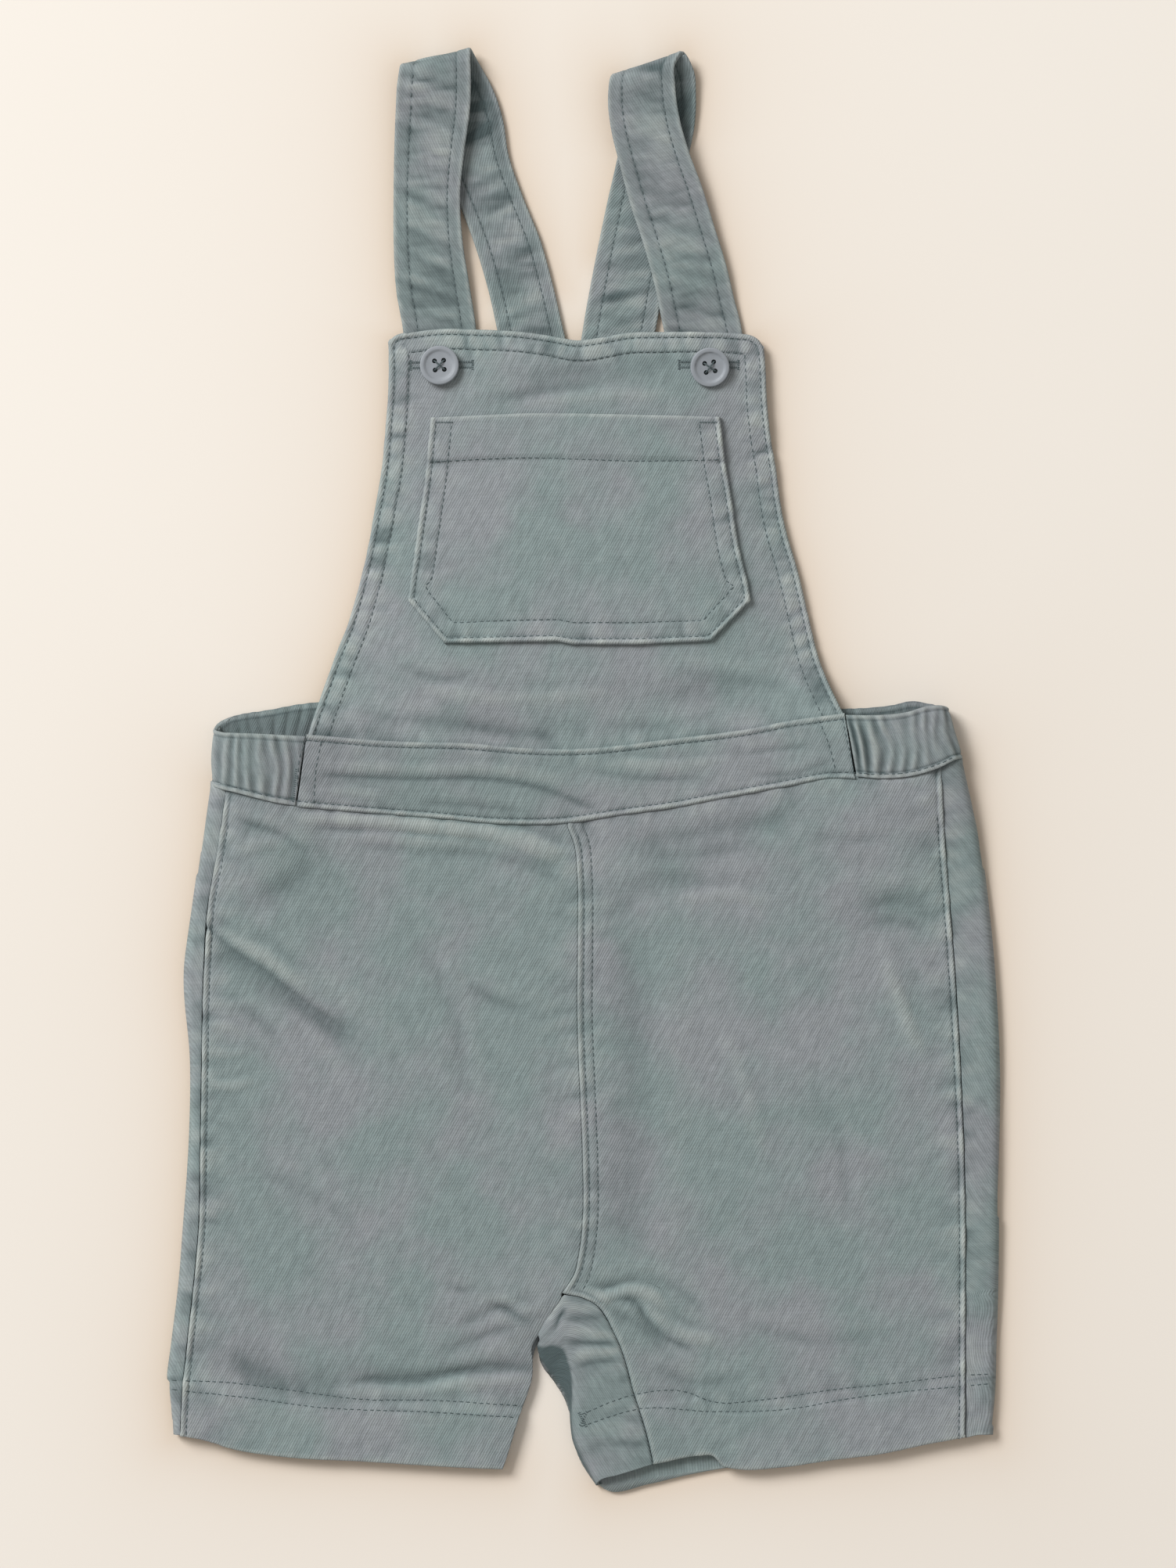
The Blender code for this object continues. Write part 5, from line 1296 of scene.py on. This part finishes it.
# Bib pocket: a patch with a turned hem at the top and its lower corners cut off, sewn to the bib by
# two rows of stitches, with a short bar across them at each end of its mouth.
POCKET_HEM = 16.4
POCKET_ROWS = (2.0, 7.8)
POCKET_PITCH = 1.1
POCKET_DEPTH = 84.0
POCKET_LEFT = ((-65.1, 62.8), (-64.6, 66.5), (-60.9, 92.7), (-58.3, 111.8), (-57.4, 121.4), (-56.5, 130.6))
POCKET_RIGHT = ((61.8, 62.8), (61.3, 66.5), (57.4, 83.1), (54.5, 102.2), (52.2, 115.6), (50.4, 130.9))
POCKET_HEAD = ((-56.5, 130.6), (-19.4, 132.1), (9.3, 131.8), (50.4, 130.9))
POCKET_FOOT = (
    (-65.1, 62.8), (-51.6, 47.0), (-30.0, 47.3), (-9.9, 47.7), (-4.1, 46.5), (19.1, 46.5), (47.0, 47.8),
    (61.8, 62.8),
)
pocket_sides = np.vstack([
    smooth_line(POCKET_LEFT[::-1], 5)[:-1], np.array(POCKET_FOOT), smooth_line(POCKET_RIGHT, 5)[1:]])


def make_pocket():
    width = POCKET_FOOT[-1][0] - POCKET_FOOT[0][0]
    corner = (POCKET_FOOT[1][0] - POCKET_FOOT[0][0]) / width
    steps = (0.2, 0.5, 0.9, 1.3, 1.7, 2.0, 2.4, 3.0, 4.2, 5.6, 6.9, 7.4, 7.8, 8.2, 8.8, 10.0, 11.6, 13.5)
    across = spread(width, POCKET_PITCH, steps, steps)
    nearest = [np.argmin(np.abs(across - place)) for place in (corner, 1 - corner)]
    across[nearest] = corner, 1 - corner
    across = np.sort(across)
    down = spread(POCKET_DEPTH, POCKET_PITCH, (0.2, 0.5, 0.9, 1.4, 2.2), steps[:14])
    left = along(POCKET_LEFT[::-1], down)
    right = along(POCKET_RIGHT[::-1], down)
    head = along(POCKET_HEAD, across)
    foot_x = POCKET_FOOT[0][0] + across * width
    foot = np.column_stack([foot_x, value_at(POCKET_FOOT, foot_x)])
    flat = stretch_between(left, right, head, foot, across, down)
    x, y = flat[:, :, 0], flat[:, :, 1]
    rise = bib_relief(x, y) + WALL + SEAM_GAP
    away, place, _ = near_line(x, y, pocket_sides)
    from_head = value_at(POCKET_HEAD, x) - y
    thick = np.where(from_head < POCKET_HEM, EDGE_WALL + 0.1, WALL)
    # Fold ridges abraded lighter; troughs, sunk rows of stitches and pucker hollows get painted shade.
    wear_and_shade = 0.45 * np.clip(folds(x, y, MAIN_FOLDS) + folds(x, y, SMALL_FOLDS), -1.0, 1.0)
    height, rubbed_and_shaded = piped_edge(away, place, 101)
    thick += height + 0.15 * (away < POCKET_ROWS[1])
    wear_and_shade += rubbed_and_shaded
    sunk, dark = stitched_line(away - POCKET_ROWS[1])
    thick += sunk
    wear_and_shade += 0.7 * dark
    sunk, dark = stitched_line(from_head - POCKET_HEM)
    thick += sunk
    wear_and_shade += 0.8 * dark
    wear_and_shade += 0.6 * hump(from_head - 0.5, 0.8) * (1.0 + 0.4 * wander(x / 3.7, y * 0, 103))
    thick -= 0.45 * hump(from_head, 0.35)
    wave = puckers(x, y, pocket_sides, 7.0, 9.0, 107)
    rise += 0.22 * wave
    wear_and_shade += 0.6 * wave
    nets = [(np.dstack([flat, rise]), thick / SEWN_WALL, wear_and_shade, flat)]
    return make_cloth("bib_pocket_cloth", nets, SEWN_WALL, 1)


bib_pocket = make_pocket()
dress(bib_pocket, "bib_pocket", bib_twill)

# Buttons: turned plastic discs with a raised rim and four holes, sewn to the strap ends and pushed
# through the buttonholes of the bib. Crossed thread shows in the dish.
BUTTON_WIDTH = 14.4
BUTTON_HEIGHT = 2.5
BUTTON_RIM = 1.5
BUTTON_DISH = 0.6
HOLE_WIDTH = 1.8
HOLE_SPACING = 3.4
BUTTON_COLOUR = (0.262, 0.290, 0.320, 1.0)
THREAD_COLOUR = (0.072, 0.100, 0.106, 1.0)

# Name, x, y, z of the underside, turn of the holes and tilt about X in degrees
BUTTONS = (("button_left", -53.4, 149.9, 5.9, 4.0, 0.0), ("button_right", 46.7, 149.2, 6.0, 10.0, 9.0))


def button_material():
    material, tree, shader = new_surface("button_plastic")
    place = add_node(tree, "ShaderNodeTexCoord").outputs["Object"]
    cloud = add_node(tree, "ShaderNodeTexNoise", {"Vector": place, "Scale": 340.0, "Detail": 3.0})
    tone = add_node(tree, "ShaderNodeMix", {
        "Factor": cloud.outputs["Fac"], "A": tuple(0.9 * c for c in BUTTON_COLOUR[:3]) + (1.0,),
        "B": tuple(1.12 * c for c in BUTTON_COLOUR[:3]) + (1.0,)}, data_type="RGBA")
    tree.links.new(tone.outputs["Result"], shader.inputs["Base Color"])
    scratch = add_node(tree, "ShaderNodeTexNoise", {"Vector": place, "Scale": 1900.0, "Detail": 3.0})
    rough = math_node(tree, "MULTIPLY_ADD", scratch.outputs["Fac"], 0.2, 0.42)
    tree.links.new(rough, shader.inputs["Roughness"])
    relief = add_node(tree, "ShaderNodeBump", {
        "Strength": 0.15, "Distance": 0.00005, "Height": scratch.outputs["Fac"]})
    tree.links.new(relief.outputs["Normal"], shader.inputs["Normal"])
    return material


def thread_material():
    material, tree, shader = new_surface("sewing_thread")
    place = add_node(tree, "ShaderNodeTexCoord").outputs["Object"]
    twist = add_node(tree, "ShaderNodeTexWave", {
        "Vector": place, "Scale": 900.0, "Distortion": 3.0, "Detail": 2.0}, bands_direction="DIAGONAL")
    tone = add_node(tree, "ShaderNodeMix", {
        "Factor": twist.outputs["Fac"], "A": tuple(0.7 * c for c in THREAD_COLOUR[:3]) + (1.0,),
        "B": tuple(1.3 * c for c in THREAD_COLOUR[:3]) + (1.0,)}, data_type="RGBA")
    tree.links.new(tone.outputs["Result"], shader.inputs["Base Color"])
    relief = add_node(tree, "ShaderNodeBump", {
        "Strength": 0.4, "Distance": 0.00005, "Height": twist.outputs["Fac"]})
    tree.links.new(relief.outputs["Normal"], shader.inputs["Normal"])
    shader.inputs["Roughness"].default_value = 0.75
    return material


def use_place(piece, matrix):
    """Put a piece where it belongs, with its place in its mesh."""
    piece.data.transform(matrix)
    piece.matrix_world = Matrix.Identity(4)


def make_button(name, x, y, z, turn, tilt):
    half = 0.5 * BUTTON_WIDTH * MM
    bpy.ops.object.select_all(action="DESELECT")
    bpy.ops.mesh.primitive_cylinder_add(vertices=72, radius=half, depth=BUTTON_HEIGHT * MM)
    button = bpy.context.object
    button.name = button.data.name = name + "_turned"
    bpy.ops.object.mode_set(mode="EDIT")
    bpy.ops.mesh.select_all(action="DESELECT")
    bpy.ops.object.mode_set(mode="OBJECT")
    for face in button.data.polygons:
        face.select = face.normal.z > 0.9
    bpy.ops.object.mode_set(mode="EDIT")
    bpy.ops.mesh.inset(thickness=BUTTON_RIM * MM)
    bpy.ops.mesh.inset(thickness=0.5 * MM)
    bpy.ops.transform.translate(value=(0.0, 0.0, -BUTTON_DISH * MM))
    bpy.ops.object.mode_set(mode="OBJECT")
    for face in button.data.polygons:
        face.select = face.normal.z < -0.9
    bpy.ops.object.mode_set(mode="EDIT")
    bpy.ops.mesh.inset(thickness=1.2 * MM)
    bpy.ops.transform.translate(value=(0.0, 0.0, -0.15 * MM))
    bpy.ops.object.mode_set(mode="OBJECT")
    bpy.ops.object.modifier_add(type="BEVEL")
    edge = button.modifiers[-1]
    edge.width = 0.42 * MM
    edge.segments = 3
    edge.limit_method = "ANGLE"
    edge.angle_limit = math.radians(20)
    bpy.ops.object.modifier_apply(modifier=edge.name)
    for corner in range(4):
        angle = math.radians(45 + 90 * corner)
        spot = 0.5 * math.sqrt(2) * HOLE_SPACING * MM
        bpy.ops.object.select_all(action="DESELECT")
        bpy.ops.mesh.primitive_cylinder_add(
            vertices=24, radius=0.5 * HOLE_WIDTH * MM, depth=4 * BUTTON_HEIGHT * MM,
            location=(spot * math.cos(angle), spot * math.sin(angle), 0.0))
        drill = bpy.context.object
        bpy.context.view_layer.objects.active = button
        cut = button.modifiers.new("hole", "BOOLEAN")
        cut.operation = "DIFFERENCE"
        cut.object = drill
        bpy.ops.object.modifier_apply(modifier=cut.name)
        bpy.data.objects.remove(drill, do_unlink=True)
    button.data.shade_smooth()
    button.data.set_sharp_from_angle(angle=math.radians(40))
    pose = Matrix.Translation((x * MM, y * MM, (z + 0.5 * BUTTON_HEIGHT) * MM))
    pose = pose @ Euler((math.radians(tilt), 0.0, math.radians(turn))).to_matrix().to_4x4()
    use_place(button, pose)
    return button, pose


def make_button_thread(name, pose):
    """Two crossed loops of thread through the four holes, as one mesh."""
    spot = 0.5 * HOLE_SPACING
    top = 0.5 * BUTTON_HEIGHT - BUTTON_DISH + 0.15
    strands = []
    for sign in (1, -1):
        for shift in (-0.2, 0.2):
            ends = ((-spot, -sign * spot), (spot, sign * spot))
            high = top + 0.28 * (sign > 0)
            route = [
                (ends[0][0] + shift, ends[0][1], -1.6), (ends[0][0] + shift, ends[0][1], top - 0.3),
                (0.55 * ends[0][0] + shift, 0.55 * ends[0][1], high), (shift, 0.0, high + 0.1),
                (0.55 * ends[1][0] + shift, 0.55 * ends[1][1], high),
                (ends[1][0] + shift, ends[1][1], top - 0.3), (ends[1][0] + shift, ends[1][1], -1.6),
            ]
            curve = bpy.data.curves.new(name, "CURVE")
            curve.dimensions = "3D"
            curve.bevel_depth = 0.16 * MM
            curve.bevel_resolution = 2
            curve.use_fill_caps = True
            spline = curve.splines.new("POLY")
            points = smooth_line(route, 5) * MM
            spline.points.add(len(points) - 1)
            for point, place in zip(spline.points, points):
                point.co = (*place, 1.0)
            strand = bpy.data.objects.new(name, curve)
            bpy.context.collection.objects.link(strand)
            strands.append(strand)
    bpy.ops.object.select_all(action="DESELECT")
    for strand in strands:
        strand.select_set(True)
    bpy.context.view_layer.objects.active = strands[0]
    bpy.ops.object.convert(target="MESH")
    bpy.ops.object.join()
    thread = bpy.context.object
    thread.name = thread.data.name = name
    thread.data.shade_smooth()
    use_place(thread, pose)
    return thread


button_plastic = button_material()
sewing_thread = thread_material()
for name, x, y, z, turn, tilt in BUTTONS:
    button, pose = make_button(name, x, y, z, turn, tilt)
    button.data.materials.append(button_plastic)
    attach(button, "root")
    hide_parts(name)
    thread = make_button_thread(name + "_thread", pose)
    thread.data.materials.append(sewing_thread)
    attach(thread, "root")

# Stitching: polyester thread in the cloth's colour, a little darker than the worn cloth, in rows of
# lockstitch. Each stitch is a short strand that dips into the cloth at both ends.
STITCH_PITCH = 2.45
STITCH_LENGTH = 2.2
STITCH_WIDTH = 0.42
STITCH_HEIGHT = 0.34
POCKET_MOUTH = 128.9

bpy.ops.object.select_all(action="DESELECT")
bpy.ops.mesh.primitive_uv_sphere_add(segments=6, ring_count=5, radius=0.5)
strand = bpy.context.object
strand_points = np.array([vert.co[:] for vert in strand.data.vertices])[:, (2, 0, 1)]
strand_faces = [list(face.vertices) for face in strand.data.polygons]
bpy.data.objects.remove(strand, do_unlink=True)
strand_points[:, 0] = np.sign(strand_points[:, 0]) * (2 * np.abs(strand_points[:, 0])) ** 0.75 / 2
strand_points *= (STITCH_LENGTH, STITCH_WIDTH, STITCH_HEIGHT)
strand_points[:, 2] -= 0.3 * (2 * strand_points[:, 0] / STITCH_LENGTH) ** 2 - 0.06


def surface_of(*pieces):
    """The pieces' faces as a tree that can be asked where a line meets them."""
    points, faces = [], []
    for piece in pieces:
        start = len(points)
        points += [vert.co for vert in piece.data.vertices]
        faces += [[start + index for index in face.vertices] for face in piece.data.polygons]
    return BVHTree.FromPolygons(points, faces)


def drop(surface, x, y, from_below=False):
    """Where a plumb line meets the surface, in mm, or nothing."""
    start = Vector((x * MM, y * MM, -0.05 if from_below else 0.05))
    spot, normal, _, _ = surface.ray_cast(start, Vector((0.0, 0.0, 1.0 if from_below else -1.0)))
    return None if spot is None else (np.array(spot) / MM, np.array(normal))


def sew_line(points, pitch=STITCH_PITCH, smooth=True):
    """Ends of the stitches along a line on the plan, columns x, y."""
    line = smooth_line(points) if smooth else np.array(points, float)
    count = max(int(reach_along(line)[-1] / pitch), 1)
    knots = along(line, even(count + 1), smooth=False)
    return list(zip(knots[:-1], knots[1:]))


def lay_stitches(name, pairs, surface, seed, from_below=False):
    """Place a stitch on the surface between each pair of points on the plan."""
    rng = np.random.default_rng(seed)
    spots = []
    for start, end in pairs:
        first = drop(surface, *start, from_below)
        last = drop(surface, *end, from_below)
        if first is None or last is None or abs(first[0][2] - last[0][2]) > 1.2:
            continue
        middle = drop(surface, *(0.5 * (start + end)), from_below)
        spots.append((middle[0], last[0] - first[0], first[1] + last[1] + middle[1]))
    return join_stitches(name, spots, rng)


def join_stitches(name, spots, rng):
    """One mesh of stitches, each with its middle, its run and its outward direction."""
    points, faces = [], []
    for middle, run, out in spots:
        size = np.linalg.norm(run) / STITCH_PITCH
        run = np.asarray(run) / np.linalg.norm(run)
        out = np.asarray(out) - np.dot(out, run) * run
        out /= np.linalg.norm(out)
        side = np.cross(out, run)
        run = (run + side * rng.uniform(-0.09, 0.09)) * size
        shape = strand_points * (rng.uniform(0.92, 1.04), rng.uniform(0.9, 1.1), 1.0)
        placed = middle + shape[:, :1] * run + shape[:, 1:2] * side + shape[:, 2:] * out
        placed = placed + side * rng.uniform(-0.06, 0.06)
        faces += [[len(points) + index for index in face] for face in strand_faces]
        points += list(placed * MM)
    mesh = bpy.data.meshes.new(name)
    mesh.from_pydata(points, [], faces)
    mesh.shade_smooth()
    mesh.materials.append(sewing_thread)
    rows = bpy.data.objects.new(name, mesh)
    bpy.context.collection.objects.link(rows)
    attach(rows, "root")
    return rows


def bar_tack(start, end, width=1.6, pitch=0.55):
    """Close stitches back and forth across a short line."""
    start, end = np.array(start, float), np.array(end, float)
    length = np.linalg.norm(end - start)
    run = (end - start) / length
    side = 0.5 * width * np.array((-run[1], run[0]))
    return [(start + run * place - side, start + run * (place + 0.5 * pitch) + side)
            for place in np.arange(0.0, length, pitch)]


bib_surface = surface_of(bib)
bib_rows = []
for distance in BIB_ROWS:
    left_row = beside(smooth_line(BIB_LEFT), 1, distance)
    right_row = beside(smooth_line(BIB_RIGHT[::-1]), 1, distance)
    head_row = beside(smooth_line(BIB_HEAD), 1, distance)
    inside = (head_row[:, 0] > BIB_HEAD[0][0] + distance) & (head_row[:, 0] < BIB_HEAD[-1][0] - distance)
    head_row = head_row[inside]
    left_row = left_row[left_row[:, 1] < head_row[0, 1] + 0.3]
    right_row = right_row[right_row[:, 1] < head_row[-1, 1] + 0.3]
    for row in (left_row, head_row, right_row):
        bib_rows += sew_line(row, smooth=False)
for hole_x, hole_y, hole_length in BUTTONHOLES:
    start, end = hole_x - 0.5 * hole_length, hole_x + 0.5 * hole_length
    for offset in (-1.05, 1.05):
        bib_rows += bar_tack((start, hole_y + offset), (end, hole_y + offset), 1.5, 0.6)
    for place in (start, end):
        bib_rows += bar_tack((place, hole_y - 1.9), (place, hole_y + 1.9), 1.5, 0.5)
stitching_bib = lay_stitches("stitching_bib", bib_rows, bib_surface, 201)

pocket_surface = surface_of(bib_pocket)
pocket_rows = []
for distance in POCKET_ROWS:
    left_row = beside(smooth_line(POCKET_LEFT[::-1]), -1, distance)
    right_row = beside(smooth_line(POCKET_RIGHT), -1, distance)
    foot_row = beside(np.array(POCKET_FOOT), -1, 1.04 * distance)
    left_row = left_row[(left_row[:, 1] > foot_row[0, 1]) & (left_row[:, 1] < POCKET_MOUTH)]
    right_row = right_row[(right_row[:, 1] > foot_row[-1, 1]) & (right_row[:, 1] < POCKET_MOUTH)]
    pocket_rows += sew_line(np.vstack([left_row, foot_row, right_row]), smooth=False)
pocket_rows += sew_line([(-58.0, 114.1), (-23.2, 115.6), (19.1, 114.4), (52.8, 115.0)])
for start_x, end_x in ((-54.8, -48.2), (43.0, 49.2)):
    pocket_rows += bar_tack((start_x, 128.7), (end_x, 128.7), 1.2, 0.6)
stitching_pocket = lay_stitches("stitching_pocket", pocket_rows, pocket_surface, 203)

band_surface = surface_of(front_waistband, back_waistband)
band_rows = sew_line(beside(smooth_line(BAND_FOOT), -1, 2.1), smooth=False)
band_rows += sew_line(beside(smooth_line(BAND_HEAD), 1, 1.3), smooth=False)
for line in BAND_ENDS:
    band_rows += sew_line(line)
band_rows += bar_tack((-106.2, 0.5), (-107.3, -11.5), 1.5, 0.8)
stitching_band = lay_stitches("stitching_band", band_rows, band_surface, 207)

leg_rows = []
seam_row = beside(centre_seam, -1, PIPING + 0.15)
leg_rows += sew_line(seam_row[6:-4], smooth=False)
leg_rows += sew_line(beside(centre_seam, -1, FELL_WIDTH)[6:-6], smooth=False)
leg_rows += sew_line(beside(smooth_line(LEFT_SIDE_SEAM), -1, 0.5 * PIPING + 0.2)[6:], smooth=False)
leg_rows += sew_line(beside(smooth_line(RIGHT_SIDE_SEAM), 1, 0.5 * PIPING + 0.2)[6:], smooth=False)
for rows in HEM_SEWING.values():
    for row in rows:
        leg_rows += sew_line(row)
leg_rows += bar_tack((-1.8, -238.0), (0.8, -243.0), 1.8, 0.7)
leg_rows += bar_tack((1.2, -237.6), (-1.2, -242.6), 1.8, 0.9)
leg_surface = surface_of(*front_legs.values(), *[
    bpy.data.objects[name] for name in ("back_leg_left_cloth", "back_leg_right_cloth")])
stitching_legs = lay_stitches("stitching_legs", leg_rows, leg_surface, 211)


def strap_stitches(name, net, out, length, seed):
    """Two rows of stitches on each face of a strap, along its own net."""
    rng = np.random.default_rng(seed)
    count = int(length / STITCH_PITCH)
    spots = []
    places, wanted = even(net.shape[1]), even(count + 1)
    for width in (STRAP_ROWS[0], STRAP_WIDTH - STRAP_ROWS[1]):
        part = width / STRAP_WIDTH
        line = np.array([
            [np.interp(part, strap_across, net[:, i, axis]) for axis in range(3)]
            for i in range(len(places))])
        knots = np.stack([np.interp(wanted, places, line[:, axis]) for axis in range(3)], axis=1)
        outs = np.stack([np.interp(wanted, places, out[:, axis]) for axis in range(3)], axis=1)
        for i in range(count):
            middle = 0.5 * (knots[i] + knots[i + 1])
            normal = outs[i] + outs[i + 1]
            normal = normal / np.linalg.norm(normal)
            for face in (1, -1):
                spot = middle + face * 0.5 * (STRAP_WALL - 0.3) * normal
                spots.append((spot, knots[i + 1] - knots[i], face * normal))
    return join_stitches(name, spots, rng)


for name, (strap, net, out, length) in straps.items():
    strap_stitches("stitching_" + name, net, out, length, 213)

# Floor: a smooth cream surface that the garment lies on. Close to the cloth a painted shadow makes it a
# little darker and warmer, as in the photo, and its grid is finer there.
FLOOR_LEVEL = -0.0002
FLOOR_COLOURS = ((0.815, 0.775, 0.712, 1.0), (0.850, 0.815, 0.758, 1.0))
FLOOR_SHADE = (0.86, 0.765, 0.675)
FLOOR_CELLS = 240
FLOOR_FINE_PART = 0.9
FLOOR_FINE = 0.42
FLOOR_COARSE = 41.0

bpy.ops.object.select_all(action="DESELECT")
bpy.ops.mesh.primitive_grid_add(
    x_subdivisions=FLOOR_CELLS, y_subdivisions=FLOOR_CELLS, size=2.0, location=(0.0, 0.0, FLOOR_LEVEL))
floor = bpy.context.object
floor.name = "floor"
spots = np.empty(3 * len(floor.data.vertices))
floor.data.vertices.foreach_get("co", spots)
spots = spots.reshape(-1, 3)
reach = np.abs(spots[:, :2])
fine, coarse = np.minimum(reach, FLOOR_FINE_PART), np.maximum(reach - FLOOR_FINE_PART, 0.0)
reach = FLOOR_FINE * fine + FLOOR_COARSE * coarse
spots[:, :2] = np.sign(spots[:, :2]) * reach
floor.data.vertices.foreach_set("co", spots.ravel())
away = np.full(len(spots), 1e6)
outlines = [smooth_line(LEFT_EDGE, 3), smooth_line(RIGHT_EDGE, 3), smooth_line(BIB_LEFT, 2)]
outlines += [smooth_line(BIB_RIGHT, 2), *map(np.array, (LEFT_HEM, BACK_HEM_RIGHT, BIB_HEAD))]
for table in (STRAP_LEFT, STRAP_RIGHT):
    outlines += [np.array(table)[:18, :2], np.array(table)[:18, 3:5]]
for line in outlines:
    away = np.minimum(away, near_line(spots[:, 0] / MM, spots[:, 1] / MM, line)[0])
# Painted shadow: how strongly the floor is tinted darker and warmer near the garment's outline.
shade = 0.62 * np.exp(-away / 9.0) + 0.38 * np.exp(-away / 48.0)
floor.data.attributes.new("shade", "FLOAT", "POINT").data.foreach_set("value", shade.astype(np.float32))
floor_paint, tree, shader = new_surface("floor_paint")
place = add_node(tree, "ShaderNodeTexCoord").outputs["Object"]
cloud = add_node(tree, "ShaderNodeTexNoise", {"Vector": place, "Scale": 3.0, "Detail": 3.0})
tone = add_node(tree, "ShaderNodeMix", {
    "Factor": cloud.outputs["Fac"], "A": FLOOR_COLOURS[0], "B": FLOOR_COLOURS[1]}, data_type="RGBA")
# The painted shadow's tint, mixed in by the shade attribute.
near = add_node(tree, "ShaderNodeAttribute", attribute_name="shade").outputs["Fac"]
tint = add_node(tree, "ShaderNodeMix", {
    "Factor": near, "A": (1.0, 1.0, 1.0, 1.0), "B": (*FLOOR_SHADE, 1.0)}, data_type="RGBA")
tone = add_node(tree, "ShaderNodeVectorMath", {
    0: tone.outputs["Result"], 1: tint.outputs["Result"]}, operation="MULTIPLY")
tree.links.new(tone.outputs[0], shader.inputs["Base Color"])
shader.inputs["Roughness"].default_value = 0.85
floor.data.materials.append(floor_paint)
